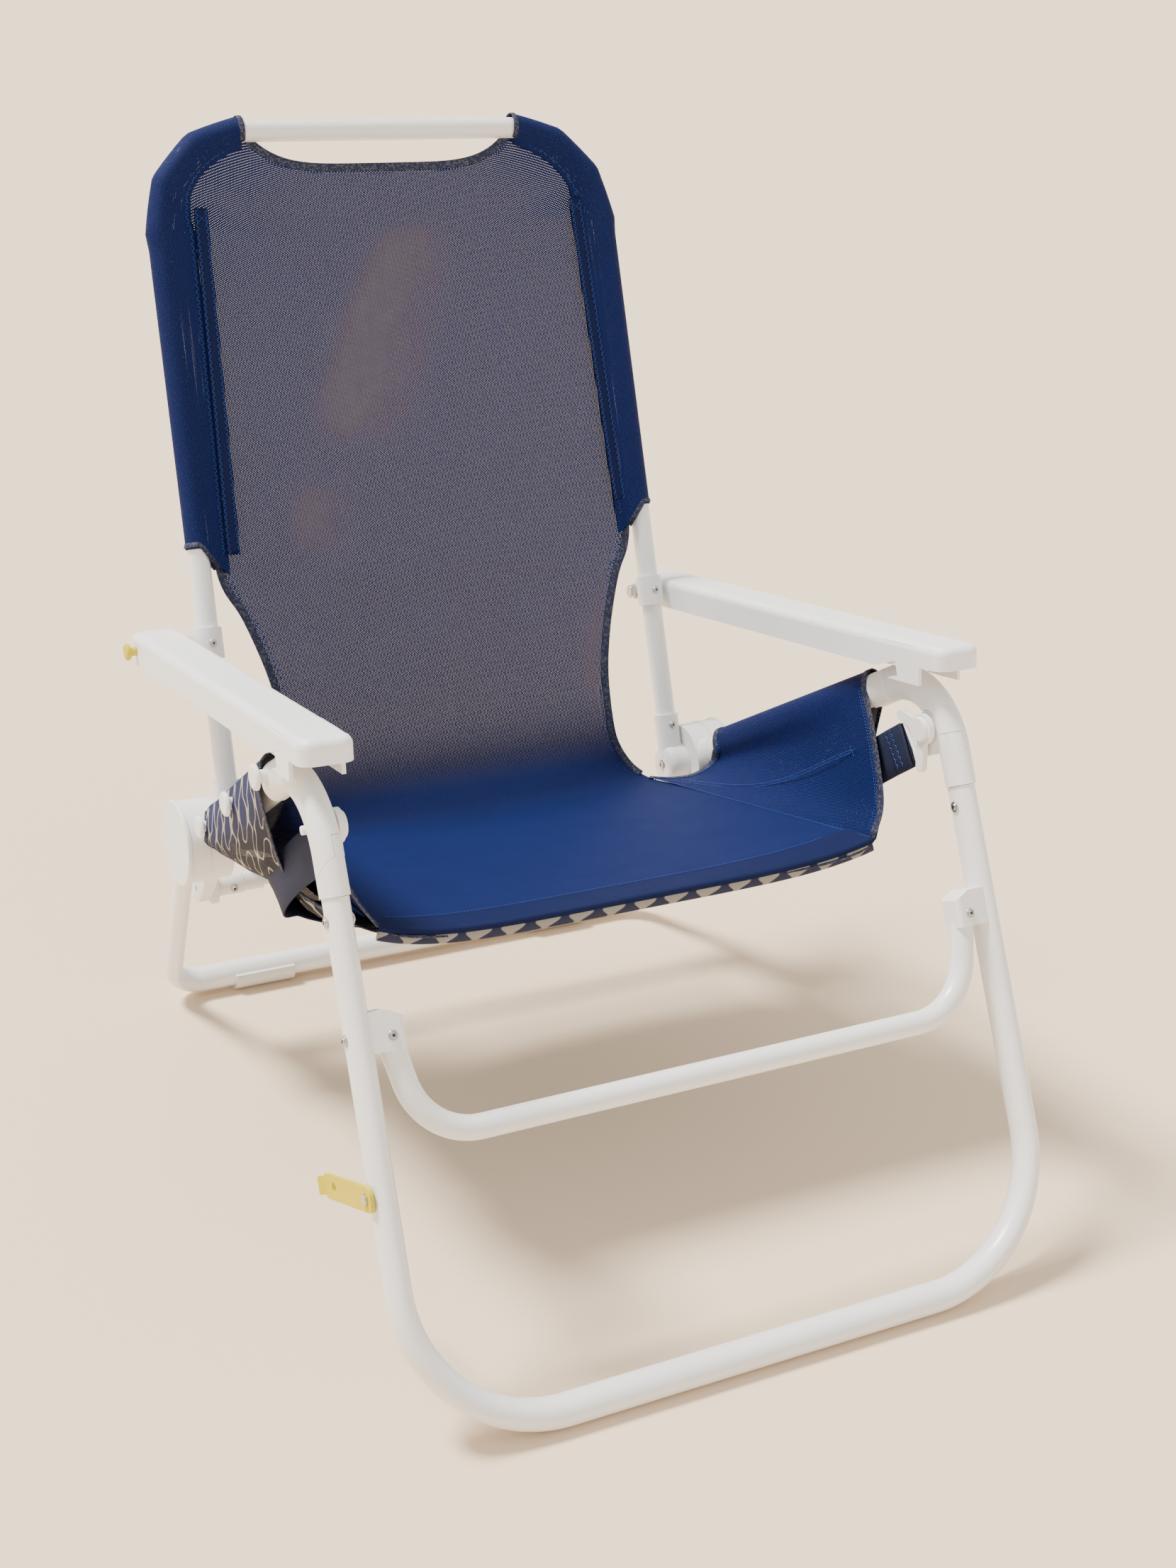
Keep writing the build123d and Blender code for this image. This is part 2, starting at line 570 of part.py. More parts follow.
def closing_strap():
    """Rubber strap with a buttonhole and a curled tip, screwed to one leg."""
    x, y, z = strap_root()
    half = STRAP_WIDE / 2
    body = block(-STRAP_THICK, 0, -half, STRAP_LENGTH - half, -half, half)
    body = fillet(body.edges().filter_by(Axis.X), 8)
    tip = Pos(-STRAP_THICK / 2, STRAP_LENGTH - half - 2, 0) * Rot(0, 0, 35) * Box(STRAP_THICK, 16, STRAP_WIDE - 6)
    hole = x_cylinder(5.5, -9, 1, STRAP_LENGTH - half - 26, 0)
    screw_hole = x_cylinder(3 + FIT, -9, 1)
    body = body + tip - hole - screw_hole
    return Pos(-x - RUN, y, z) * Rot(-STRAP_DIP, 0, 0) * body


def strap_screw():
    """Shouldered screw that the closing strap turns on."""
    x, y, z = strap_root()
    shaft = x_cylinder(3, -x - RUN - STRAP_THICK - 0.3, -x - 0.05, y, z)
    head = x_cylinder(5, -x - RUN - STRAP_THICK - 2.2, -x - RUN - STRAP_THICK - 0.3, y, z)
    return shaft + head


# ---------------------------------------------------------------- armrests
def armrest():
    """Moulded armrest: a rounded channel, open below, that rests on the elbow at the front."""
    x0, x1 = ARM_INNER_X, ARM_INNER_X + ARM_WIDE
    y0, y1 = ARM_TAIL, ARM_TAIL - ARM_LENGTH
    shell = block(x0, x1, y1, y0, ARM_SKIRT - 9, ARM_TOP)
    shell = fillet(shell.edges().filter_by(Axis.Z), 13)
    shell = fillet(shell.faces().sort_by(Axis.Z)[-1].edges(), 8)
    cavity = block(x0 + ARM_WALL, x1 - ARM_WALL, y1 + ARM_WALL, y0 - ARM_WALL, ARM_SKIRT - 20, ARM_TOP - 5)
    cavity = fillet(cavity.edges().filter_by(Axis.Z), 10)
    foot_front, foot_back = -510.0, -440.0
    under_rear = block(x0 - 1, x1 + 1, foot_back, y0 + 1, ARM_SKIRT - 20, ARM_SKIRT)
    under_ramp = Pos(0, foot_back, ARM_SKIRT) * Rot(-16, 0, 0) * block(x0 - 1, x1 + 1, -34, 0, -14, 0)
    under_front = block(x0 - 1, x1 + 1, y1 - 1, foot_front, ARM_SKIRT - 20, ARM_SKIRT + 9)
    saddle = block(x0 + 1, x1 - 1, -500, -455, -10, ARM_TOP - 3)
    ribs = saddle
    for y in (-60, -150, -240, -330, -420, -525):
        ribs += block(x0 + 1, x1 - 1, y - 1.2, y + 1.2, ARM_SKIRT + 11, ARM_TOP - 3)
    boss = x_cylinder(8, x0 + 1, x0 + 9)
    tail_boss = x_cylinder(8, x1 - 9, x1 - 1)
    body = shell - cavity - under_rear - under_ramp - under_front + ribs + boss + tail_boss
    swung = Pos(ARM_INNER_X, 0, 0) * Rot(0, 0, ARM_FLARE) * Pos(-ARM_INNER_X, 0, 0) * body
    swung = swung - x_cylinder(4 + FIT, 260, 335)
    placed = on_arm(swung)
    return (placed - elbow_blank(RUN + 0.2)).solids().sort_by(SortBy.VOLUME)[-1]


def arm_bolt():
    """Steel bolt from the clamp's lug into the armrest."""
    shaft = x_cylinder(4, 253.5, 318, ARM_Y, ARM_Z)
    head = x_cylinder(7, 250.5, 257.4, ARM_Y, ARM_Z)
    head = fillet(head.edges().filter_by(GeomType.CIRCLE).sort_by(Axis.X)[0], 1.5)
    return head + shaft


def strap_knob():
    """Rubber button on the outside of the right-hand armrest that the closing strap hooks over."""
    x = ARM_INNER_X + ARM_WIDE + 0.6
    neck = x_cylinder(4.6, x, x + 6, ARM_Y, ARM_Z)
    head = x_cylinder(8.6, x + 6, x + 11, ARM_Y, ARM_Z)
    head = fillet(head.edges().filter_by(GeomType.CIRCLE), 1.8)
    return flip(neck + head)


# ---------------------------------------------------------------- the nodes
def build():
    """Make every node by name."""
    nodes = {
        "back_tube": back_tube(),
        "back_screws": back_screws(),
        "sling_back_panel": sling_back(),
        "cross_tube": cross_tube(),
        "seat_screws": seat_screws(),
        "sling_seat_pan": seat_pan(),
        "pull_strap": pull_strap(),
        "rear_leg_tube": rear_leg_tube(),
        "front_leg_tube": front_leg_tube(),
        "crossbar": crossbar(),
        "front_leg_screws": front_screws(),
        "closing_strap": closing_strap(),
        "closing_strap_screw": strap_screw(),
        "strap_knob": strap_knob(),
    }
    pairs = {
        "back_socket": back_socket, "arm_clamp": arm_clamp, "sling_sleeve": sling_sleeve,
        "seat_rail": seat_rail, "rail_housing": rail_housing, "hub_pin": hub_pin,
        "cross_fitting": cross_fitting, "upper_elbow": upper_elbow, "elbow_pin": elbow_pin,
        "elbow_cap": tongue_button, "accessory_studs": accessory_studs, "sling_wing": seat_wing,
        "latch_lever": latch, "hub_drum": hub_drum, "hub_cap": hub_cap, "foot_pad": foot_pad,
        "front_knuckle": knuckle, "crossbar_bracket": crossbar_bracket,
        "armrest": armrest, "arm_bolt": arm_bolt,
    }
    for name, make in pairs.items():
        shape = make()
        nodes[name + "_left"] = shape
        nodes[name + "_right"] = flip(shape)
    return nodes


if __name__ == "__main__":
    os.makedirs("parts", exist_ok=True)
    for name, shape in build().items():
        export_step(shape, f"parts/{name}.step")
        print(name, len(shape.solids()), round(shape.volume))
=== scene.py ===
"""Low folding camp chair with a hung mesh sling: finishes, fabric, trims and a plain studio."""
import json
import logging
import math
from dataclasses import dataclass, field
from enum import Enum
from typing import Optional, Sequence, Union

import bmesh
import bpy
import numpy as np
from mathutils import Matrix, Vector


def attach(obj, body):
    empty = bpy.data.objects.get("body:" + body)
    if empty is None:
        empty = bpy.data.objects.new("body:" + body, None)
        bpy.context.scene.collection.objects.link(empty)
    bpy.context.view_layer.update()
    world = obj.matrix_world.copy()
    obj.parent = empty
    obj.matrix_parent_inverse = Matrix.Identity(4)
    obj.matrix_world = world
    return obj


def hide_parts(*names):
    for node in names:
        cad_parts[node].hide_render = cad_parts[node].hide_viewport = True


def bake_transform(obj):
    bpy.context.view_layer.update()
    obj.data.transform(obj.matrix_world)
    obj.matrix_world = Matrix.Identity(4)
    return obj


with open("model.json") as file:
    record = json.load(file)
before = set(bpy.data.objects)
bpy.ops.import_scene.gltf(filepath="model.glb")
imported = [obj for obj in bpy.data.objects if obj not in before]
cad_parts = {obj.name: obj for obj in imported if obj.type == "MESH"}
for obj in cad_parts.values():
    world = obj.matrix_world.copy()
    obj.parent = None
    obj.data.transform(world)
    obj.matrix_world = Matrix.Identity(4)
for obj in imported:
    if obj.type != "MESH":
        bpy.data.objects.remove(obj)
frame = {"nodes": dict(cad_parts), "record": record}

LOG = logging.getLogger("camp_chair")
MM = 0.001
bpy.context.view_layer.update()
Colour = tuple[float, float, float]
Row3 = Sequence[float]


class Side(Enum):
    """The sitter's left is +X, the sitter's right is -X."""

    LEFT = 1
    RIGHT = -1

    @property
    def label(self) -> str:
        """The word used in piece names."""
        return self.name.lower()


# ------------------------------------------------------------------ shader maths
class Value:
    """A number socket whose operators add Math nodes."""

    def __init__(self, graph: "Graph", socket: bpy.types.NodeSocket) -> None:
        """Wrap one socket of a graph."""
        self.graph = graph
        self.socket = socket

    def _math(self, operation: str, *others: "Number") -> "Value":
        """Add one Math node with this value first."""
        return self.graph.math(operation, self, *others)

    def __add__(self, other: "Number") -> "Value":
        """Sum."""
        return self._math("ADD", other)

    __radd__ = __add__

    def __sub__(self, other: "Number") -> "Value":
        """Difference."""
        return self._math("SUBTRACT", other)

    def __rsub__(self, other: "Number") -> "Value":
        """Difference the other way round."""
        return self.graph.math("SUBTRACT", other, self)

    def __mul__(self, other: "Number") -> "Value":
        """Product."""
        return self._math("MULTIPLY", other)

    __rmul__ = __mul__

    def __truediv__(self, other: "Number") -> "Value":
        """Quotient."""
        return self._math("DIVIDE", other)

    def fract(self) -> "Value":
        """The part after the point."""
        return self._math("FRACT")

    def floor(self) -> "Value":
        """The whole number below."""
        return self._math("FLOOR")

    def abs(self) -> "Value":
        """The size without its sign."""
        return self._math("ABSOLUTE")

    def cos(self) -> "Value":
        """Cosine of an angle in radians."""
        return self._math("COSINE")

    def sin(self) -> "Value":
        """Sine of an angle in radians."""
        return self._math("SINE")

    def step(self, low: float, high: float) -> "Value":
        """Rise smoothly from 0 at low to 1 at high; low may be the larger."""
        return self.graph.map_range(self, low, high)


Number = Union[Value, float]


class Graph:
    """The node tree of one material."""

    def __init__(self, name: str) -> None:
        """Start a material with a Principled shader.

        Args:
            name: the piece's or material's name.
        """
        self.material = bpy.data.materials.new(name)
        self.material.use_nodes = True
        self.nodes = self.material.node_tree.nodes
        self.links = self.material.node_tree.links
        self.shader = self.nodes["Principled BSDF"]

    def node(self, kind: str, settings: Optional[dict] = None, **inputs: object) -> bpy.types.Node:
        """Add a node, apply its settings, then fill its sockets.

        Args:
            kind: the node's type name.
            settings: attributes of the node, set first.
            **inputs: socket names, spaces as underscores, with values or links.

        Returns:
            The new node.
        """
        made = self.nodes.new(kind)
        for key, value in (settings or {}).items():
            setattr(made, key, value)
        for key, value in inputs.items():
            name = key.replace("_", " ")
            socket = made.inputs[int(key[1:])] if key[0] == "n" and key[1:].isdigit() else made.inputs[name]
            self.fill(socket, value)
        return made

    def fill(self, socket: bpy.types.NodeSocket, value: object) -> None:
        """Link or set one socket.

        Args:
            socket: the input to fill.
            value: a link or a plain value.
        """
        if isinstance(value, Value):
            self.links.new(value.socket, socket)
        elif isinstance(value, bpy.types.NodeSocket):
            self.links.new(value, socket)
        elif socket.type == "RGBA" and len(value) == 3:
            socket.default_value = (*value, 1.0)
        else:
            socket.default_value = value

    def math(self, operation: str, *values: Number) -> Value:
        """Add a Math node.

        Args:
            operation: the operation of the node.
            *values: the inputs, in order.

        Returns:
            The result.
        """
        made = self.node("ShaderNodeMath", {"operation": operation})
        for socket, value in zip(made.inputs, values):
            self.fill(socket, value)
        return Value(self, made.outputs[0])

    def map_range(self, value: Value, low: float, high: float) -> Value:
        """Smooth step of a value between two edges.

        Args:
            value: a link or a plain value.
            low: where the result is 0.
            high: where the result is 1.

        Returns:
            The result, 0 to 1.
        """
        made = self.node(
            "ShaderNodeMapRange", {"interpolation_type": "SMOOTHSTEP"},
            Value=value, From_Min=low, From_Max=high,
        )
        return Value(self, made.outputs[0])

    def mix(self, factor: Number, first: object, second: object) -> bpy.types.NodeSocket:
        """Blend two colours by a factor."""
        made = self.node("ShaderNodeMix", {"data_type": "RGBA"}, n0=factor, n6=first, n7=second)
        return made.outputs[2]

    def uv(self) -> tuple[Value, Value]:
        """The two flat coordinates of the cloth or tape, in metres.

        Returns:
            Across and along.
        """
        source = self.node("ShaderNodeUVMap", {"uv_map": "UVMap"})
        split = self.node("ShaderNodeSeparateXYZ", Vector=source.outputs[0])
        return Value(self, split.outputs[0]), Value(self, split.outputs[1])

    def place(self) -> bpy.types.NodeSocket:
        """Position in the object's own space, in metres."""
        return self.node("ShaderNodeTexCoord").outputs["Object"]

    def noise(self, scale: float, detail: float = 2.0, where: object = None) -> Value:
        """Soft noise with a scale in cells per metre."""
        made = self.node("ShaderNodeTexNoise", Vector=where or self.place(), Scale=scale, Detail=detail)
        return Value(self, made.outputs["Fac"])

    def bump(self, height: Value, distance: float, strength: float = 1.0) -> None:
        """Feed a height in units of distance to the shader's normal."""
        made = self.node("ShaderNodeBump", Height=height, Distance=distance, Strength=strength)
        self.links.new(made.outputs[0], self.shader.inputs["Normal"])

    def finish(self, **sockets: object) -> bpy.types.Material:
        """Fill the shader's sockets and return the material.

        Args:
            **sockets: names of sockets, spaces as underscores, with their values.

        Returns:
            The material.
        """
        for key, value in sockets.items():
            self.fill(self.shader.inputs[key.replace("_", " ")], value)
        return self.material


# ------------------------------------------------------------------ finishes
@dataclass(frozen=True)
class Enamel:
    """Smooth painted tube: faint orange peel under a clear gloss."""

    name: str = "white_enamel"
    colour: Colour = (0.86, 0.855, 0.84)
    roughness: float = 0.30

    def make(self) -> bpy.types.Material:
        """Build the material.

        Returns:
            The material.
        """
        g = Graph(self.name)
        tone = g.mix(g.noise(9.0), self.colour, tuple(0.965 * c for c in self.colour))
        g.bump(g.noise(420.0, 1.0), 0.00002)
        rough = self.roughness + g.noise(60.0) * 0.08
        return g.finish(Base_Color=tone, Roughness=rough, Coat_Weight=0.25, Coat_Roughness=0.15)


@dataclass(frozen=True)
class Moulding:
    """Satin moulded plastic with a fine grain."""

    name: str = "white_moulding"
    colour: Colour = (0.86, 0.855, 0.845)
    roughness: float = 0.42
    grain: float = 0.00003
    cells: float = 1300.0

    def make(self) -> bpy.types.Material:
        """Build the material.

        Returns:
            The material.
        """
        g = Graph(self.name)
        tone = g.mix(g.noise(14.0), self.colour, tuple(0.95 * c for c in self.colour))
        g.bump(g.noise(self.cells, 3.0), self.grain)
        rough = self.roughness + g.noise(90.0) * 0.08
        return g.finish(Base_Color=tone, Roughness=rough)


@dataclass(frozen=True)
class Rubber:
    """Matt rubber with a dusty bloom."""

    name: str
    colour: Colour

    def make(self) -> bpy.types.Material:
        """Build the material.

        Returns:
            The material.
        """
        g = Graph(self.name)
        tone = g.mix(g.noise(70.0, 4.0), self.colour, tuple(0.86 * c for c in self.colour))
        g.bump(g.noise(900.0, 2.0), 0.00004)
        return g.finish(Base_Color=tone, Roughness=0.55 + g.noise(40.0) * 0.12)


@dataclass(frozen=True)
class Zinc:
    """Bright plated steel with fine turning marks."""

    name: str = "bright_zinc"
    colour: Colour = (0.62, 0.61, 0.59)

    def make(self) -> bpy.types.Material:
        """Build the material.

        Returns:
            The material.
        """
        g = Graph(self.name)
        g.bump(g.noise(2600.0, 2.0), 0.00001)
        return g.finish(Base_Color=g.mix(g.noise(300.0), self.colour, (0.45, 0.44, 0.42)),
                        Metallic=1.0, Roughness=0.24 + g.noise(500.0) * 0.14)


@dataclass(frozen=True)
class MeshWeave:
    """Open plain weave of coated yarn; the gaps between yarns are real holes.

    cover closes the holes between two rows of the cloth, where it lies double.
    """

    name: str = "sling_weave"
    pitch: float = 1.7 * MM
    # yarn is the colour of a yarn's lit top, shade the painted shade in the dips between yarns.
    yarn: Colour = (0.006, 0.018, 0.125)
    shade: Colour = (0.002, 0.004, 0.022)
    open_across: float = 0.135
    open_along: float = 0.10
    rib: float = 0.0
    cover: Optional[tuple[float, float]] = None

    def threads(self, g: Graph, u: Value, v: Value) -> tuple[Value, Value]:
        """Yarn height and hole mask.

        Args:
            g: the graph; not used.
            u: coordinate across, in metres.
            v: coordinate along, in metres.

        Returns:
            The height of the yarn from 0 to 1, and 1 inside a hole.
        """
        across, along = u / self.pitch, v / self.pitch
        column = across.floor()
        along = along + (column * 0.5).fract()
        from_across, from_along = (across.fract() - 0.5).abs(), (along.fract() - 0.5).abs()
        hole = from_across.step(self.open_across + 0.04, self.open_across - 0.04)
        hole = hole * from_along.step(self.open_along + 0.04, self.open_along - 0.04)
        height = (from_across * (2 * math.pi)).cos() * -0.5 + (from_along * (2 * math.pi)).cos() * -0.3 + 0.6
        return height, hole

    def make(self) -> bpy.types.Material:
        """Build the material.

        Returns:
            The material.
        """
        g = Graph(self.name)
        u, v = g.uv()
        height, hole = self.threads(g, u, v)
        if self.cover:
            hole = hole * v.step(*self.cover)
        if self.rib:
            height = height + ((u + v) * (2 * math.pi / self.rib)).cos() * 0.25
        mottle = g.noise(22.0, 3.0)
        # Painted highlight and shade: each yarn is painted lighter on its top and darker in the dips between
        # yarns, by its height.
        tone = g.mix(height.step(0.1, 1.0), self.shade, self.yarn)
        tone = g.mix(mottle * 0.25, tone, self.shade)
        g.bump(height, 0.0003, 0.7)
        return g.finish(Base_Color=tone, Roughness=0.6 + mottle * 0.1, Alpha=1.0 - hole,
                        Specular_IOR_Level=0.12)


@dataclass(frozen=True)
class LeafWeave:
    """Dark mesh with rows of leaf shapes between cream branching lines that thin out downwards."""

    name: str = "leaf_weave"
    base: MeshWeave = field(default_factory=MeshWeave)
    cream: Colour = (0.48, 0.44, 0.35)
    # royal is the ground near the rail; dark is the ground further down, partly the mesh's own colour and
    # partly painted shade under the seat.
    royal: Colour = (0.007, 0.019, 0.115)
    dark: Colour = (0.005, 0.007, 0.022)
    column: float = 38 * MM
    leaf: float = 72 * MM
    top: float = 0.0
    reach: float = 75 * MM

    def make(self) -> bpy.types.Material:
        """Build the material.

        Returns:
            The material.
        """
        g = Graph(self.name)
        u, v = g.uv()
        height, hole = self.base.threads(g, u, v)
        sway = (g.noise(26.0, 1.0) - 0.5) * 0.5
        turn = 2 * math.pi
        lower = v.step(self.top + 0.35 * self.reach, self.top + self.reach)
        across = (u / self.column + sway + v * 7.0) * turn
        along = (v / self.leaf + sway * 0.35) * turn
        ripple = (across * 0.5 + along * 2.0).sin() * lower * 0.8
        contour = across.cos() + along.cos() * 0.88 + ripple
        width = 0.26 - lower * 0.08
        line = (contour.abs() - width).step(0.10, -0.10)
        # Further from the rail the leaf fill gives way to plain mesh and the cream lines thin, which is the
        # print; the near-black ground there is partly the mesh's own colour and partly painted shade under
        # the seat.
        inside = 1.0 - lower
        ground = g.mix(inside, self.dark, self.royal)
        # Painted shade: the ground is darkened towards near black in the dips between yarns, and the cream
        # lines are painted fainter there, by the yarn's height.
        ground = g.mix(height.step(0.0, 1.1) * 0.75 + 0.25, (0.003, 0.004, 0.012), ground)
        tone = g.mix(line * (height * 0.4 + 0.6), ground, self.cream)
        g.bump(height, 0.0003, 0.7)
        return g.finish(Base_Color=tone, Roughness=0.7, Alpha=1.0 - hole * (0.25 + lower * 0.6),
                        Specular_IOR_Level=0.25)


@dataclass(frozen=True)
class Webbing:
    """Flat webbing with long ribs and fine picks across them."""

    name: str
    colour: Colour
    shade: Colour
    rib: float = 2.1 * MM

    def make(self) -> bpy.types.Material:
        """Build the material.

        Returns:
            The material.
        """
        g = Graph(self.name)
        u, v = g.uv()
        ribs = ((u * (2 * math.pi / self.rib)).cos() * 0.5) + 0.5
        turned = (u * (math.pi / self.rib)).floor() * math.pi
        picks = (((v * (2 * math.pi / (self.rib * 0.55))) + turned).cos() * 0.5) + 0.5
        height = ribs * 0.7 + picks * 0.3
        # Painted highlight and shade: rib and pick tops take the webbing colour, and the grooves between them
        # are painted darker towards shade.
        tone = g.mix(height.step(0.0, 0.9), self.shade, self.colour)
        tone = g.mix(g.noise(45.0, 3.0) * 0.3, tone, self.shade)
        g.bump(height, 0.00025, 0.8)
        return g.finish(Base_Color=tone, Roughness=0.75, Specular_IOR_Level=0.2)


@dataclass(frozen=True)
class Braid:
    """Narrow edge tape with a diagonal weave and light dots."""

    name: str
    ground: Colour = (0.004, 0.007, 0.03)
    dot: Colour = (0.20, 0.21, 0.22)
    blue: Colour = (0.008, 0.026, 0.15)
    pitch: float = 2.4 * MM
    light: float = 0.28

    def make(self) -> bpy.types.Material:
        """Build the material.

        Returns:
            The material.
        """
        g = Graph(self.name)
        u, v = g.uv()
        turn = 2 * math.pi / self.pitch
        first, second = ((u + v) * turn).cos(), ((u - v) * turn).cos()
        dots = (first * second).step(0.25, 0.6)
        pick = (g.noise(380.0, 0.0)).step(0.5 - 0.1, 0.5 + 0.1)
        tone = g.mix(dots * (0.35 + pick * 0.65), self.ground, self.blue)
        tone = g.mix(dots * pick.step(1.0 - self.light, 1.05), tone, self.dot)
        g.bump(first * second * 0.5 + 0.5, 0.0003, 0.8)
        return g.finish(Base_Color=tone, Roughness=0.7)


@dataclass(frozen=True)
class PipingCloth:
    """Hem piping cut from the leaf cloth: cream half-ovals on navy."""

    name: str = "hem_piping_cloth"
    navy: Colour = (0.006, 0.011, 0.05)
    cream: Colour = (0.40, 0.36, 0.29)
    repeat: float = 34 * MM

    def make(self) -> bpy.types.Material:
        """Build the material.

        Returns:
            The material.
        """
        g = Graph(self.name)
        u, v = g.uv()
        along = (v / self.repeat + (g.noise(18.0) - 0.5) * 0.4) * (2 * math.pi)
        oval = ((along + u * 90.0).cos() + (u * 420.0).sin() * 0.7).step(-0.05, 0.2)
        weave = ((u * 3700.0).cos() * (v * 3700.0).cos()).step(-0.2, 0.4)
        # Painted shade: the navy is darkened in the weave's low points, and the cream ovals are painted
        # fainter there.
        tone = g.mix(oval * (0.45 + weave * 0.55), g.mix(weave, (0.004, 0.007, 0.03), self.navy), self.cream)
        g.bump(weave, 0.0002, 0.6)
        return g.finish(Base_Color=tone, Roughness=0.7)


@dataclass(frozen=True)
class SewingThread:
    """Twisted polyester thread."""

    name: str = "bright_blue_thread"
    colour: Colour = (0.012, 0.06, 0.33)

    def make(self) -> bpy.types.Material:
        """Build the material.

        Returns:
            The material.
        """
        g = Graph(self.name)
        tone = g.mix(g.noise(1500.0), self.colour, tuple(0.6 * c for c in self.colour))
        return g.finish(Base_Color=tone, Roughness=0.45 + g.noise(800.0) * 0.1)


@dataclass(frozen=True)
class Paper:
    """Seamless studio paper."""

    name: str = "studio_paper"
    colour: Colour = (0.84, 0.66, 0.47)

    def make(self) -> bpy.types.Material:
        """Build the material.

        Returns:
            The material.
        """
        g = Graph(self.name)
        tone = g.mix(g.noise(3.0, 3.0), self.colour, tuple(0.985 * c for c in self.colour))
        g.bump(g.noise(160.0, 2.0), 0.0002, 0.3)
        return g.finish(Base_Color=tone, Roughness=0.9, Specular_IOR_Level=0.1)


# ------------------------------------------------------------------ mesh work
def curve_through(points: Sequence[Row3], count: int) -> np.ndarray:
    """Spread points evenly along a smooth curve through a few given ones.

    Args:
        points: the points that the curve passes through.
        count: how many points to return.

    Returns:
        An array of count rows.
    """
    given = np.array([tuple(p) for p in points], float)
    ends = np.vstack([2 * given[0] - given[1], given, 2 * given[-1] - given[-2]])
    fine = []
    for i in range(1, len(ends) - 2):
        a, b, c, d = ends[i - 1], ends[i], ends[i + 1], ends[i + 2]
        for t in np.linspace(0, 1, 12, endpoint=False):
            fine.append(0.5 * (2 * b + (c - a) * t + (2 * a - 5 * b + 4 * c - d) * t**2
                               + (3 * b - 3 * c + d - a) * t**3))
    fine.append(given[-1])
    line = np.array(fine)
    run = np.concatenate([[0], np.cumsum(np.linalg.norm(np.diff(line, axis=0), axis=1))])
    spread = np.linspace(0, run[-1], count)
    return np.stack([np.interp(spread, run, line[:, k]) for k in range(line.shape[1])], axis=1)


def lengths(points: np.ndarray) -> np.ndarray:
    """Distance along a line of points, from its first."""
    return np.concatenate([[0], np.cumsum(np.linalg.norm(np.diff(points, axis=0), axis=1))])


def add_mesh(name: str, points: np.ndarray, faces: list, uvs: Optional[np.ndarray] = None,
             smooth: bool = True) -> bpy.types.Object:
    """Make an object from points and faces.

    Args:
        name: the piece's name.
        points: one row for each vertex.
        faces: tuples of vertex numbers.
        uvs: one row for each vertex, or one for each face corner.
        smooth: whether the faces are smooth shaded.

    Returns:
        The new object, linked to the scene.
    """
    mesh = bpy.data.meshes.new(name)
    mesh.from_pydata([tuple(p) for p in points], [], faces)
    if uvs is not None:
        layer = mesh.uv_layers.new(name="UVMap")
        corner = np.array([loop.vertex_index for loop in mesh.loops])
        chosen = uvs if len(uvs) == len(corner) and len(uvs) != len(points) else uvs[corner]
        layer.data.foreach_set("uv", np.ascontiguousarray(chosen, np.float32).ravel())
    mesh.polygons.foreach_set("use_smooth", [smooth] * len(mesh.polygons))
    mesh.update()
    made = bpy.data.objects.new(name, mesh)
    bpy.context.scene.collection.objects.link(made)
    return made


def grid(name: str, points: np.ndarray, uvs: np.ndarray) -> bpy.types.Object:
    """Make a sheet from rows of points, with its flat coordinates in metres.

    Args:
        name: the piece's or material's name.
        points: rows of points, in metres.
        uvs: flat coordinates of the points, in metres.

    Returns:
        The new object.
    """
    rows, columns = points.shape[:2]
    faces = [
        (i * columns + j, i * columns + j + 1, (i + 1) * columns + j + 1, (i + 1) * columns + j)
        for i in range(rows - 1) for j in range(columns - 1)
    ]
    return add_mesh(name, points.reshape(-1, 3), faces, uvs.reshape(-1, 2))


def sheet_uvs(points: np.ndarray) -> np.ndarray:
    """Flat coordinates of a sheet, from the lengths of its middle row and middle column.

    Args:
        points: rows of points, in metres.

    Returns:
        Two flat coordinates for each point.
    """
    rows, columns = points.shape[:2]
    along = lengths(points[:, columns // 2])
    uvs = np.zeros((rows, columns, 2))
    for i in range(rows):
        across = lengths(points[i])
        uvs[i, :, 0] = across - across[columns // 2]
        uvs[i, :, 1] = along[i]
    return uvs


def frames(path: np.ndarray, side: np.ndarray) -> tuple[np.ndarray, np.ndarray]:
    """Unit width and height directions along a path.

    Args:
        path: the points of the centre line.
        side: the wanted width direction, one row for all or one for each point.

    Returns:
        The width directions, square to the path, and the height directions.
    """
    ahead = np.gradient(path, axis=0)
    ahead /= np.linalg.norm(ahead, axis=1)[:, None]
    wide = np.broadcast_to(side, path.shape).astype(float)
    wide = wide - (wide * ahead).sum(1)[:, None] * ahead
    wide /= np.linalg.norm(wide, axis=1)[:, None]
    return wide, np.cross(ahead, wide)


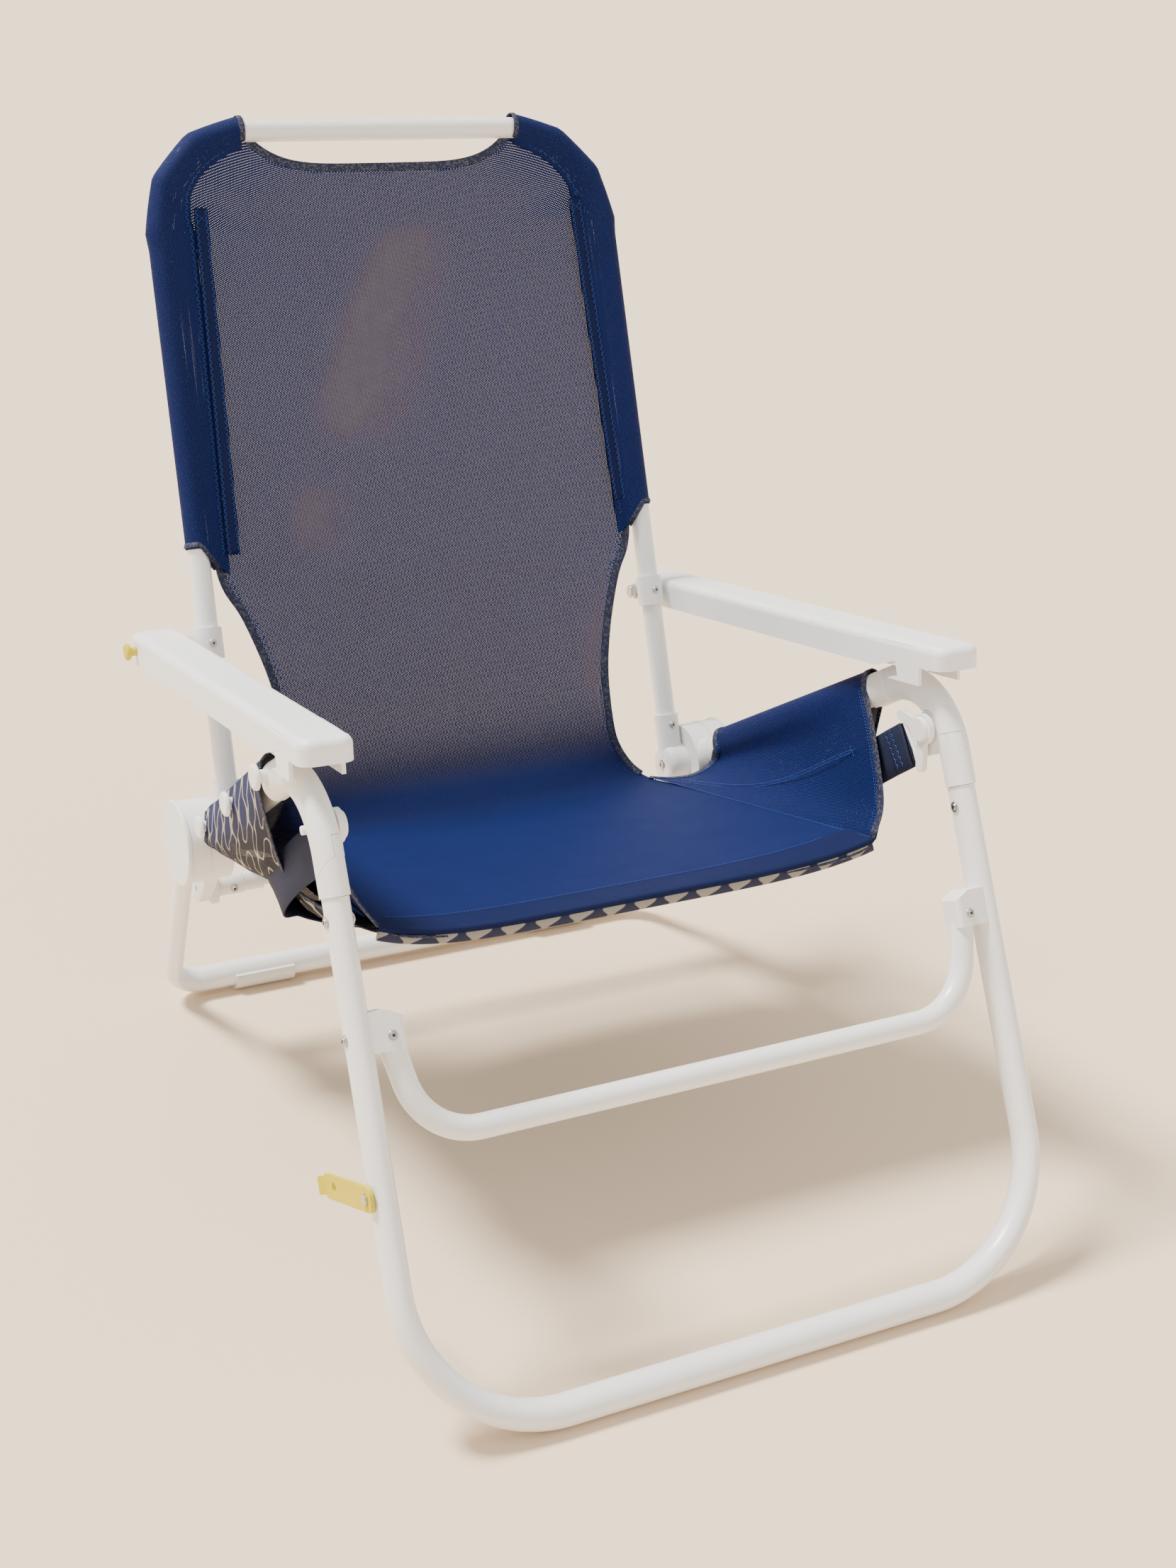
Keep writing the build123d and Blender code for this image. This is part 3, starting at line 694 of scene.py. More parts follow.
def sweep(name: str, path: np.ndarray, side: np.ndarray, section: np.ndarray,
          closed: bool = True) -> bpy.types.Object:
    """Sweep a section along a path.

    Args:
        name: the piece's name.
        path: the points of the centre line.
        side: the width direction, one row for all or one for each point.
        section: width and height of each section point, alike for all or one set for each path point.
        closed: whether the section is a ring with caps at its ends, or an open strip.

    Returns:
        The new object, with flat coordinates in metres.
    """
    wide, high = frames(path, side)
    sections = np.broadcast_to(section, (len(path), *section.shape[-2:]))
    count = sections.shape[1]
    points = path[:, None] + wide[:, None] * sections[..., :1] + high[:, None] * sections[..., 1:]
    run = lengths(path)
    around = lengths(np.vstack([sections[len(path) // 2], sections[len(path) // 2][:1]]))
    turns = count if closed else count - 1
    faces, uvs = [], []
    for i in range(len(path) - 1):
        for j in range(turns):
            k = (j + 1) % count
            faces.append((i * count + j, i * count + k, (i + 1) * count + k, (i + 1) * count + j))
            uvs += [(around[j], run[i]), (around[j + 1], run[i])]
            uvs += [(around[j + 1], run[i + 1]), (around[j], run[i + 1])]
    if closed:
        for i, order in ((0, range(count - 1, -1, -1)), (len(path) - 1, range(count))):
            faces.append(tuple(i * count + j for j in order))
            uvs += [tuple(sections[i, j] + run[i]) for j in order]
    return add_mesh(name, points.reshape(-1, 3), faces, np.array(uvs))


def oval(wide: float, high: float, count: int = 14) -> np.ndarray:
    """An oval section, wide and high being its full sizes."""
    turn = np.linspace(0, 2 * math.pi, count, endpoint=False)
    return np.stack([np.cos(turn) * wide / 2, np.sin(turn) * high / 2], axis=1)


def tape_section(wide: float, thick: float) -> np.ndarray:
    """A flat tape with rounded edges.

    Args:
        wide: full width.
        thick: full thickness.

    Returns:
        The section's points.
    """
    w, t = wide / 2, thick / 2
    half = [(-w + t, -t), (-w / 3, -t), (w / 3, -t), (w - t, -t), (w - 0.3 * t, -0.6 * t), (w, 0)]
    return np.array(half + [(-x, -y) for x, y in half])


def lathe(name: str, profile: Sequence[Row3], origin: Vector, axis: Vector,
          count: int = 40) -> bpy.types.Object:
    """Turn a profile about an axis.

    Args:
        name: the piece's name.
        profile: radius and height of each point.
        origin: where height 0 lies on the axis.
        axis: the way that heights run.
        count: points in a ring.

    Returns:
        The new object.
    """
    lift = axis.normalized()
    first = lift.orthogonal().normalized()
    second = lift.cross(first)
    points, faces = [], []
    for radius, height in profile:
        for k in range(count):
            turn = 2 * math.pi * k / count
            around = first * math.cos(turn) + second * math.sin(turn)
            points.append(origin + lift * height + around * radius)
    for i in range(len(profile) - 1):
        for k in range(count):
            n = (k + 1) % count
            faces.append((i * count + k, i * count + n, (i + 1) * count + n, (i + 1) * count + k))
    faces.append(tuple(range(count - 1, -1, -1)))
    last = (len(profile) - 1) * count
    faces.append(tuple(last + k for k in range(count)))
    made = add_mesh(name, np.array([tuple(p) for p in points]), faces, None)
    made.data.set_sharp_from_angle(angle=math.radians(35))
    return made


class Stitching:
    """Collects stitches and makes one mesh of them."""

    def __init__(self, radius: float = 0.32 * MM) -> None:
        """Start with no stitches.

        Args:
            radius: radius, in metres.
        """
        self.radius = radius
        self.points: list = []
        self.faces: list = []

    def add(self, start: np.ndarray, end: np.ndarray, lift: np.ndarray) -> None:
        """Add one stitch that dips into the cloth at both ends.

        Args:
            start: where the stitch begins.
            end: where the stitch ends.
            lift: the way out of the cloth.
        """
        ahead = end - start
        length = np.linalg.norm(ahead)
        if length < 1e-6:
            return
        ahead = ahead / length
        side = np.cross(ahead, lift)
        side /= max(np.linalg.norm(side), 1e-9)
        up = np.cross(side, ahead)
        base = len(self.points)
        for t, swell in ((0.0, 0.25), (0.15, 0.9), (0.5, 1.0), (0.85, 0.9), (1.0, 0.25)):
            centre = start + ahead * length * t + up * self.radius * 1.6 * math.sin(math.pi * t)
            for k in range(6):
                turn = math.pi * k / 3
                around = side * math.cos(turn) + up * math.sin(turn)
                self.points.append(centre + around * self.radius * swell)
        for i in range(4):
            ring = base + 6 * i
            for k in range(6):
                n = (k + 1) % 6
                self.faces.append((ring + k, ring + n, ring + 6 + n, ring + 6 + k))
        self.faces.append(tuple(base + 5 - k for k in range(6)))
        self.faces.append(tuple(base + 24 + k for k in range(6)))

    def run(self, path: np.ndarray, lift: np.ndarray, pitch: float = 3.2 * MM, zigzag: float = 0.0) -> None:
        """Sew along a path.

        Args:
            path: points of the seam, already on the cloth's surface.
            lift: the way out of the cloth, one row for all or one for each path point.
            pitch: length of one stitch with its gap.
            zigzag: half width of a zigzag, or 0 for a straight seam.
        """
        run = lengths(path)
        count = max(int(run[-1] / pitch), 1)
        lifts = np.broadcast_to(lift, path.shape)

        def at(distance: float) -> tuple[np.ndarray, np.ndarray]:
            """Point and way out at a distance along the seam.

            Args:
                distance: distance from the start, in metres.

            Returns:
                The point and the way out.
            """
            point = np.array([np.interp(distance, run, path[:, k]) for k in range(3)])
            out = np.array([np.interp(distance, run, lifts[:, k]) for k in range(3)])
            return point, out / np.linalg.norm(out)

        for i in range(count):
            (a, out_a), (b, out_b) = at(i * pitch), at(i * pitch + pitch * (1.0 if zigzag else 0.78))
            across = np.cross(b - a, out_a)
            across /= max(np.linalg.norm(across), 1e-9)
            swing = zigzag * (1 if i % 2 else -1)
            self.add(a + across * swing, b - across * swing, out_a + out_b)

    def make(self, name: str, material: bpy.types.Material, body: str) -> bpy.types.Object:
        """Make the mesh of all stitches, riding on one body.

        Args:
            name: the piece's name.
            material: its material.
            body: the body that it rides on, or None to leave it on no body.

        Returns:
            The new object.
        """
        made = add_mesh(name, np.array(self.points), self.faces)
        dress(made, material, body)
        return made


def dress(piece: bpy.types.Object, material: bpy.types.Material, body: Optional[str]) -> None:
    """Give a piece its material and body.

    Args:
        piece: the object.
        material: its material.
        body: the body that it rides on, or None to leave it on no body.
    """
    piece.data.materials.clear()
    piece.data.materials.append(material)
    if body:
        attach(piece, body)
    LOG.info("made %s", piece.name)


# ------------------------------------------------------------------ the chair's measures
@dataclass
class Layout:
    """Places on the open chair, in metres, worked out from its hinge axes."""

    back_lean: float = 22.0
    rail_middle: float = 280 * MM
    rail_splay: float = 31.0 / 356.1
    rail_half_wide: float = 10 * MM
    rail_half_deep: float = 15.5 * MM
    back_foot: float = 258.6 * MM
    back_splay: float = -8.6 / 681.0
    bend_middle: tuple[float, float] = (150 * MM, 611 * MM)

    def __post_init__(self) -> None:
        """Read the hinge axes from the frame."""
        joints = {j["name"]: j for j in frame["record"]["behaviour"]["joints"]}
        self.hub = np.array(joints["back_fold"]["pos_m"], float)
        self.elbow = np.array(joints["front_leg_fold"]["pos_m"], float)
        rise = math.radians(33.78)
        self.rail_ahead = np.array([self.rail_splay, -math.cos(rise), math.sin(rise)])
        self.rail_up = np.array([0.0, math.sin(rise), math.cos(rise)])

    def back(self, x: float, s: float, n: float = 0.0) -> np.ndarray:
        """A point of the back, from millimetres across, up from the hub, and behind it.

        Args:
            x: across, in millimetres.
            s: up the back from the hub, in millimetres.
            n: behind the back, in millimetres.

        Returns:
            The point, in metres.
        """
        lean = math.radians(self.back_lean)
        y = s * math.sin(lean) + n * math.cos(lean)
        z = s * math.cos(lean) - n * math.sin(lean)
        return np.array([x * MM, self.hub[1] + y * MM, self.hub[2] + z * MM])

    def rail(self, side: Side, run: float, out: float = 0.0, up: float = 0.0) -> np.ndarray:
        """A point by a rail: along it from the hub, outwards and upwards of its middle, in millimetres.

        Args:
            side: the side of the chair.
            run: along the rail from the hub, in millimetres.
            out: outwards, in millimetres.
            up: upwards, in millimetres.

        Returns:
            The point, in metres.
        """
        point = np.array([self.rail_middle, self.hub[1], self.hub[2]]) + self.rail_ahead * run * MM
        point += self.rail_up * up * MM + np.array([out * MM, 0, 0])
        return point * np.array([side.value, 1, 1])

    def bend_with_back(self, piece: bpy.types.Object) -> None:
        """Bake the piece's placement into its mesh."""
        tuple(self.back(0, 120))
        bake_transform(piece)

    def back_normal(self) -> np.ndarray:
        """The way out of the back towards the sitter."""
        lean = math.radians(self.back_lean)
        return np.array([0.0, -math.cos(lean), math.sin(lean)])


def mirrored(point: Row3, side: Side) -> np.ndarray:
    """A left-hand point given in millimetres, on the wanted side, in metres."""
    return np.array([point[0] * side.value, point[1], point[2]]) * MM


# ------------------------------------------------------------------ sling
@dataclass
class MainSheet:
    """The one cloth of seat and back, from the front hem to the neck."""

    layout: Layout
    rows: int = 150
    columns: int = 61
    neck_low: float = 673.0

    def stations(self) -> list[tuple]:
        """Rows from hem to neck.

        Returns:
            For each row: right-hand and left-hand edge, middle, and how late the row turns to its edge.
        """
        back = self.layout.back
        seat = [
            ((277, -168, 333), (-246, -166, 337), (0, -168, 318), 5.0),
            ((273, -125, 326), (-250, -125, 328), (0, -125, 310), 4.0),
            ((265, -70, 313), (-256, -70, 314), (0, -80, 300), 3.5),
            ((256, -10, 300), (-254, -10, 300), (0, -25, 288.5), 3.0),
            ((247, 50, 286), (-247, 50, 286), (0, 35, 276.5), 3.0),
            ((238, 110, 272), (-238, 110, 272), (0, 95, 265.5), 3.0),
            ((229, 155, 261), (-229, 155, 261), (0, 140, 257.5), 3.0),
            ((222, 187, 255), (-222, 187, 255), (0, 172, 256), 3.0),
            ((206, 202, 266), (-206, 202, 266), (0, 193, 266), 2.6),
        ]
        rows = [(np.array(a) * MM, np.array(b) * MM, np.array(c) * MM, k) for a, b, c, k in seat]
        waist = ((192, 32, 26, 2, 10), (187, 62, 58, 0, 12), (188, 111, 106, 0, 12), (195, 153, 148, 0, 12),
                 (205, 190, 186, 0, 12), (217, 224, 221, 0, 12), (231, 251, 249, 0, 11),
                 (236, 280, 277, 0, 11),
                 (233, 320, 317, 0, 11), (229, 400, 396, 0, 10), (226, 480, 475, 0, 9), (223, 560, 553, 0, 8),
                 (221, 620, 602, 0, 7), (216, 648, 618, 0, 6), (205, 668, 633, 0, 5), (186, 684, 648, 0, 4),
                 (166, 698, 661, 0, 3), (152, 709, self.neck_low, 0, 3))
        for i, (x, s, s_mid, n, n_mid) in enumerate(waist):
            late = 2.6 if i < 12 else 2.6 + (i - 11) * 0.4
            rows.append((back(x, s, n), back(-x, s, n), back(0, s_mid, n_mid), late))
        return rows

    def points(self) -> np.ndarray:
        """The sheet as rows of points.

        Returns:
            Rows of points, in metres.
        """
        stations = self.stations()
        right = curve_through([s[0] for s in stations], 900)
        left = curve_through([s[1] for s in stations], 900)
        middle = curve_through([s[2] for s in stations], 900)
        sample = np.linspace(0, len(stations) - 1, self.rows)

        def follow(line: np.ndarray, which: int) -> np.ndarray:
            """Points of an edge line at the same part of each stretch between stations.

            Args:
                line: the whole edge line.
                which: which of the station's points the line goes through.

            Returns:
                One point for each row.
            """
            run = lengths(line)
            marks = []
            start = 0
            for s in stations:
                near = np.linalg.norm(line[start:] - s[which], axis=1)
                start += int(near.argmin())
                marks.append(run[start])
            wanted = np.interp(sample, np.arange(len(stations)), marks)
            return np.stack([np.interp(wanted, run, line[:, k]) for k in range(3)], axis=1)

        ends = follow(right, 0), follow(left, 1)
        centre = follow(middle, 2)
        late = np.interp(sample, np.arange(len(stations)), [s[3] for s in stations])
        across = np.linspace(-1, 1, self.columns)
        grid_points = np.zeros((self.rows, self.columns, 3))
        for j, t in enumerate(across):
            edge = ends[0] if t >= 0 else ends[1]
            part = abs(t)
            weight = part ** late
            grid_points[:, j, 0] = edge[:, 0] * part
            grid_points[:, j, 1:] = centre[:, 1:] + (edge[:, 1:] - centre[:, 1:]) * weight[:, None]
        return grid_points

    def build(self, material: bpy.types.Material) -> np.ndarray:
        """Make the sheet.

        Args:
            material: the weave.

        Returns:
            Its rows of points, for the trims.
        """
        points = self.points()
        uvs = sheet_uvs(points)
        made = grid("sling_sheet", points, uvs)
        dress(made, material, None)
        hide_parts("sling_back_panel", "sling_seat_pan")
        self.layout.bend_with_back(made)
        return points


@dataclass
class Sleeve:
    """Cloth folded round one back tube and stitched to the panel, from the waist round the shoulder."""

    layout: Layout
    side: Side
    skin: float = 12.3
    foot: float = 262.0
    bend_start: float = 611.0
    bend_radius: float = 100.0
    straight_rows: int = 60
    bend_rows: int = 26
    facet: float = 30.0

    def path(self) -> tuple[np.ndarray, np.ndarray, np.ndarray]:
        """Tube centre line, the way in to the panel, and the depth of the stitch line.

        Returns:
            Centre line, way in and depth of the seam.
        """
        lay = self.layout
        centre, inward, depth = [], [], []
        for s in np.linspace(self.foot, self.bend_start, self.straight_rows):
            x = (lay.back_foot / MM) + lay.back_splay * (s - 30)
            centre.append(lay.back(x * self.side.value, s))
            inward.append((-self.side.value, 0, 0))
            depth.append(np.interp(s, (262, 300, 634), (30, 31, 38)))
        lean = math.radians(lay.back_lean)
        for turn in np.linspace(0, math.pi / 2 - 0.04, self.bend_rows)[1:]:
            x = lay.bend_middle[0] / MM + math.cos(turn) * self.bend_radius
            s = lay.bend_middle[1] / MM + math.sin(turn) * self.bend_radius
            centre.append(lay.back(x * self.side.value, s))
            down = -math.sin(turn)
            inward.append((-math.cos(turn) * self.side.value, down * math.sin(lean), down * math.cos(lean)))
            depth.append(np.interp(turn, (0, 0.5, 1.2, 1.6), (36, 27, 23, 17)))
        return np.array(centre), np.array(inward), np.array(depth)

    def corners(self) -> np.ndarray:
        """How far the cloth stands off the tube where it turns the shoulder in flat facets.

        Returns:
            The stand-off of each row, in millimetres.
        """
        straight = self.straight_rows
        turn = np.concatenate([np.zeros(straight), np.linspace(0, 90, self.bend_rows)[1:]])
        off_middle = np.abs(turn % self.facet - self.facet / 2)
        stand = (self.bend_radius + self.skin) * (1 / np.cos(np.radians(off_middle)) - 1)
        stand[:straight] = stand[straight] * np.clip((np.arange(straight) - straight + 4) / 3, 0, 1)
        return stand * 0.75

    def strip(self, cloth: bpy.types.Material, thread: Stitching) -> None:
        """Make the doubled strip along the sleeve's seam, sewn down at both edges with a tack at its top.

        Args:
            cloth: its weave.
            thread: collects the stitches.
        """
        shift = 5.0 if self.side is Side.RIGHT else -6.0
        x_low, x_high = 255.0 - 31.0 - shift, 248.5 - 37.0 - shift
        low = 284 if self.side is Side.RIGHT else 302
        line = np.array([
            self.layout.back(np.interp(s, (300, 634), (x_low, x_high)) * self.side.value, s, -4.0)
            for s in np.linspace(low, 634, 60)
        ])
        normal = self.layout.back_normal()
        tape = sweep(f"sleeve_strip_{self.side.label}", line, np.array([1.0, 0, 0]),
                     tape_section(14 * MM, 1.6 * MM))
        dress(tape, cloth, "back_frame")
        top = normal * 1.2 * MM
        for offset in (-5.0, 5.0):
            thread.run(line + top + np.array([offset * MM, 0, 0]), normal, 3.2 * MM, 1.5 * MM)
        end = line[-2] + top
        up = (line[-1] - line[-2]) / np.linalg.norm(line[-1] - line[-2]) * 9 * MM
        for lean in (-5, 5):
            across = np.array([lean * MM, 0, 0])
            thread.run(np.array([end - up - across, end + across]), normal, 2.6 * MM)

    def build(self, material: bpy.types.Material, trim: bpy.types.Material, thread: Stitching) -> None:
        """Make the sleeve, the trims at its ends and its seam.

        Args:
            material: the double weave.
            trim: the edge braid.
            thread: collects the zigzag stitches.
        """
        path, inward, depth = self.path()
        normal = np.broadcast_to(self.layout.back_normal(), path.shape)
        rows = []
        for centre, side, deep, out, point in zip(path, inward, depth, normal, self.corners()):
            open_angle = math.acos(self.skin / deep)
            turn = np.linspace(open_angle, 2 * math.pi - open_angle, 22)
            wide = [self.skin + max(0.0, -math.cos(t)) * point for t in turn]
            ring = [(deep, 0.9), (deep * 0.62, self.skin * 0.42 + 0.4)]
            ring += [(w * math.cos(t), w * math.sin(t)) for w, t in zip(wide, turn)]
            ring += [(deep * 0.62, -self.skin * 0.42 - 0.4), (deep, -0.9)]
            rows.append([centre + side * a * MM + out * b * MM for a, b in ring])
        points = np.array(rows)
        lift = self.layout.back(0, 1) - self.layout.back(0, 0)
        for j in range(points.shape[1]):
            inside = np.clip(((points[:, j] - path) * inward).sum(1) / MM, 0, 24)
            for i in range(12):
                wanted = 298 - inside[i] * 1.4
                have = self.foot + i * (self.bend_start - self.foot) / (self.straight_rows - 1)
                if have < wanted:
                    points[i, j] += lift * (wanted - have) * (1 - i / 12.0)
        made = grid(f"sling_sleeve_cloth_{self.side.label}", points, sheet_uvs(points))
        dress(made, material, "back_frame")
        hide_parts(f"sling_sleeve_{self.side.label}")
        for name, row in (("shoulder", -1), ("foot", 0)):
            ring = points[row][1:-1]
            middle = ring.mean(0)
            band = sweep(f"sleeve_braid_{name}_{self.side.label}", ring, ring - middle,
                         oval(1.6 * MM, 6 * MM, 8))
            dress(band, trim, "back_frame")
        front, out = points[:, 0], normal[0]
        line = front - inward * 5 * MM + out * 1.9 * MM
        thread.run(line[4:-3], out, 3.4 * MM, 1.6 * MM)


@dataclass
class Wing:
    """Cloth from the seat up over one rail."""

    layout: Layout
    side: Side
    first: float = 75.0
    last: float = 356.0
    loop: float = 1.2
    outward: float = 1.2
    columns: int = 56

    def base(self) -> tuple[Row3, Row3]:
        """Rear and front end of the seam between seat and wing.

        Returns:
            Rear and front end, in millimetres.
        """
        if self.side is Side.LEFT:
            return (222, 187, 255), (277, -168, 333)
        return (222, 187, 255), (246, -166, 337)

    def rear_edge(self) -> list[np.ndarray]:
        """The free edge behind, from the waist up to the rail.

        Returns:
            Its points, in metres.
        """
        between = [(243, 170, 258), (262, 155, 266), (276, 144, 282)]
        top = self.layout.rail(self.side, self.first, -11.4, -2)
        return [mirrored(self.base()[0], self.side)] + [mirrored(p, self.side) for p in between] + [top]

    def front_edge(self) -> list[np.ndarray]:
        """The free edge in front, from the hem corner up to the rail.

        Returns:
            Its points, in metres.
        """
        if self.side is Side.LEFT:
            between = [(289, -160, 366), (294, -130, 418)]
        else:
            between = [(262, -156, 362), (280, -136, 402), (292, -115, 432)]
        top = self.layout.rail(self.side, self.last, -11.4, -2)
        return [mirrored(self.base()[1], self.side)] + [mirrored(p, self.side) for p in between] + [top]

    def cap(self, run: float) -> list[np.ndarray]:
        """Points over the rail from its inner to its outer side.

        Args:
            run: along the rail from the hub, in millimetres.

        Returns:
            Its points, in metres.
        """
        lay = self.layout
        points = []
        for turn in np.linspace(math.radians(172), math.radians(4), 14):
            bulge = max(math.sin(turn), 0.0)
            lean = 0.5 - 0.5 * math.cos(turn)
            out = math.cos(turn) * (lay.rail_half_wide / MM + 1.2) + (1 - lean) * self.outward
            up = math.sin(turn) * (lay.rail_half_deep / MM + 1.2) + bulge * self.loop
            points.append(lay.rail(self.side, run, out, up))
        return points

    def points(self) -> np.ndarray:
        """The wing as rows from rear to front, each from the seat up and over the rail.

        Returns:
            Rows of points, in metres.
        """
        inner = 22
        seam = curve_through([mirrored(p, self.side) for p in self.base()], self.columns)
        rear = curve_through(self.rear_edge(), inner)
        front = curve_through(self.front_edge(), inner)
        rows = []
        for i, part in enumerate(np.linspace(0, 1, self.columns)):
            run = self.first + (self.last - self.first) * part
            top = self.layout.rail(self.side, run, -11.4, -2)
            row = []
            for j, up in enumerate(np.linspace(0, 1, inner)):
                straight = seam[i] * (1 - up) + top * up
                rear_straight = rear[0] * (1 - up) + rear[-1] * up
                front_straight = front[0] * (1 - up) + front[-1] * up
                fold = (1 - part) * (rear[j] - rear_straight) + part * (front[j] - front_straight)
                belly = math.sin(math.pi * up) * math.sin(math.pi * part) * 5 * MM * self.side.value
                row.append(straight + fold + np.array([belly, 0, 0]))
            rows.append(row + self.cap(run))
        return np.array(rows)

    def build(self, material: bpy.types.Material, braid: bpy.types.Material, thread: Stitching) -> np.ndarray:
        """Make the wing with its bound edges and seams.

        Args:
            material: the double weave.
            braid: the edge braid.
            thread: collects the stitches.

        Returns:
            Its rows of points.
        """
        points = self.points()
        made = grid(f"sling_wing_cloth_{self.side.label}", points, sheet_uvs(points))
        dress(made, material, "seat_frame")
        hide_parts(f"sling_wing_{self.side.label}")
        toward_sitter = np.array([-self.side.value, 0.0, 0.25])
        for name, edge, near in (("front", points[-1], points[-3]), ("rear", points[0], points[2])):
            into = near - edge
            tape = sweep(f"wing_braid_{name}_{self.side.label}", edge + into * 0.2, into,
                         tape_section(9 * MM, 2.0 * MM))
            dress(tape, braid, "seat_frame")
            away = into / np.linalg.norm(into, axis=1)[:, None]
            lift = np.cross(np.gradient(edge, axis=0), away)
            lift /= np.linalg.norm(lift, axis=1)[:, None]
            lift *= np.sign((lift * toward_sitter).sum(1))[:, None]
            for inset in (7.5 * MM, 10.5 * MM):
                thread.run((edge + away * inset + lift * 0.3 * MM)[1:24], lift[1:24])
        seam = points[2:, 0] + np.array([-self.side.value * 1.5, 0, 1.2]) * MM
        thread.run(seam, np.array([-0.4 * self.side.value, 0, 1.0]))
        dart = curve_through([points[1, 1], points[24, 6], points[48, 13]], 40)
        dart = dart + toward_sitter * 0.8 * MM
        for shift in (-1.6 * MM, 1.6 * MM):
            thread.run(dart + np.array([0, 0, shift]), toward_sitter)
        cross = dart[-1]
        for dy, dz in ((5, 4), (5, -4)):
            arm = np.array([0, dy, dz]) * MM
            thread.run(np.array([cross - arm, cross + arm]), toward_sitter)
        return points


@dataclass
class OuterSheet:
    """Patterned cloth under the seat, from the outside of one rail to the other."""

    layout: Layout
    columns: int = 81
    rows: int = 60

    def half(self, side: Side) -> list[list[np.ndarray]]:
        """Stations from rear to front, each from the middle out and up to the rail.

        Args:
            side: the side of the chair.

        Returns:
            A list of points for each station.
        """
        bulge = 7.0 if side is Side.RIGHT else 0.0
        runs = (72.0, 120.0, 200.0, 270.0, 318.0, 350.0)
        front = ((240, -163, 328), (284, -104, 338), (306, -82, 368))
        if side is Side.LEFT:
            front = ((272, -167, 325), (294, -134, 370), (309, -106, 405))
        unders = (
            ((0, 135, 251), (150, 138, 250), (226, 146, 253), (264, 152, 258), (298, 154, 276)),
            ((0, 100, 258), (150, 100, 258), (238, 104, 262), (272, 110, 270), (302, 112, 290)),
            ((0, 40, 270), (150, 40, 270), (248, 40, 279), (280, 42, 292), (305, 42, 314)),
            ((0, -30, 284), (150, -30, 285), (257, -30, 296), (286, -32, 318), (309, -34, 348)),
            ((0, -100, 299), (150, -100, 300), (264, -96, 312), (290, -80, 338), (311, -66, 374)),
            ((0, -164, 311), (150, -166, 312), *front),
        )
        stations = []
        for run, under in zip(runs, unders):
            points = [mirrored(p, side) for p in under]
            points.append(self.layout.rail(side, run, 13.0 + bulge, -4))
            points.append(self.layout.rail(side, run, 12.6 + bulge * 0.93, 5))
            points.append(self.layout.rail(side, run, 9.4 + bulge * 0.91, 15.6 + bulge * 0.46))
            stations.append(points)
        return stations

    def points(self) -> np.ndarray:
        """The sheet as rows from rear to front.

        Returns:
            Rows of points, in metres.
        """
        half_columns = self.columns // 2 + 1
        halves = []
        for side in (Side.RIGHT, Side.LEFT):
            rows = np.array([curve_through(s, half_columns) for s in self.half(side)])
            columns = [curve_through(rows[:, j], self.rows) for j in range(half_columns)]
            halves.append(np.stack(columns, axis=1))
        return np.concatenate([halves[0][:, ::-1], halves[1][:, 1:]], axis=1)

    def build(self, material: bpy.types.Material, braid: bpy.types.Material) -> np.ndarray:
        """Make the sheet and bind its side edges.

        Args:
            material: the leaf cloth.
            braid: the edge braid.

        Returns:
            Its rows of points.
        """
        points = self.points()
        middle = self.columns // 2
        uvs = np.zeros((*points.shape[:2], 2))
        along = lengths(points[:, 4])
        for i in range(len(points)):
            across = lengths(points[i])
            from_edge = np.minimum(across, across[-1] - across)
            uvs[i, :, 0] = along[i] + 0.5
            uvs[i, :, 1] = from_edge
        uvs[:, middle:, 0] += 0.011
        made = grid("sling_outer_sheet", points, uvs)
        dress(made, material, "seat_frame")
        for side, edge_at in ((Side.RIGHT, slice(0, 26)), (Side.LEFT, slice(-26, None))):
            for name, row, near in (("front", -1, -3), ("rear", 0, 2)):
                edge = points[row][edge_at]
                into = points[near][edge_at] - edge
                tape = sweep(f"outer_braid_{name}_{side.label}", edge, into, tape_section(6 * MM, 1.8 * MM))
                dress(tape, braid, "seat_frame")
        return points


@dataclass
class FrontHem:
    """The seat's front edge: a doubled band over a piping of the leaf cloth."""

    band: float = 24 * MM
    piping: float = 11 * MM

    def build(self, sheet: np.ndarray, band_cloth: bpy.types.Material, piping_cloth: bpy.types.Material,
              thread: Stitching) -> None:
        """Make the hem along the sheet's first row.

        Args:
            sheet: rows of the main sheet.
            band_cloth: weave of the doubled band.
            piping_cloth: leaf cloth of the piping.
            thread: collects the stitches.
        """
        edge = sheet[0]
        run = lengths(sheet[:, sheet.shape[1] // 2])
        depth = int(np.searchsorted(run, self.band)) + 1
        rows = sheet[:depth + 1] + np.array([0, 0, 1.1]) * MM
        fold = edge + np.array([0, -1.6, -1.4]) * MM
        tuck = edge + np.array([0, -0.6, -4.6]) * MM
        points = np.concatenate([tuck[None], fold[None], rows])
        made = grid("hem_band", points, sheet_uvs(points))
        dress(made, band_cloth, "seat_frame")
        path = edge + np.array([0, 0.5, -8.2]) * MM
        piping = sweep("hem_piping", path, np.array([0, 0.2, 1.0]), oval(self.piping, 5.0 * MM, 16))
        dress(piping, piping_cloth, "seat_frame")
        groove = edge + np.array([0, -0.4, -3.4]) * MM
        cord = sweep("hem_groove_cord", groove, np.array([0, 0, 1.0]), oval(1.6 * MM, 1.6 * MM, 8))
        dress(cord, band_cloth, "seat_frame")
        seam = sheet[depth][3:-3] + np.array([0, 0, 1.6]) * MM
        thread.run(seam, np.array([0, 0.2, 1.0]), 3.4 * MM)


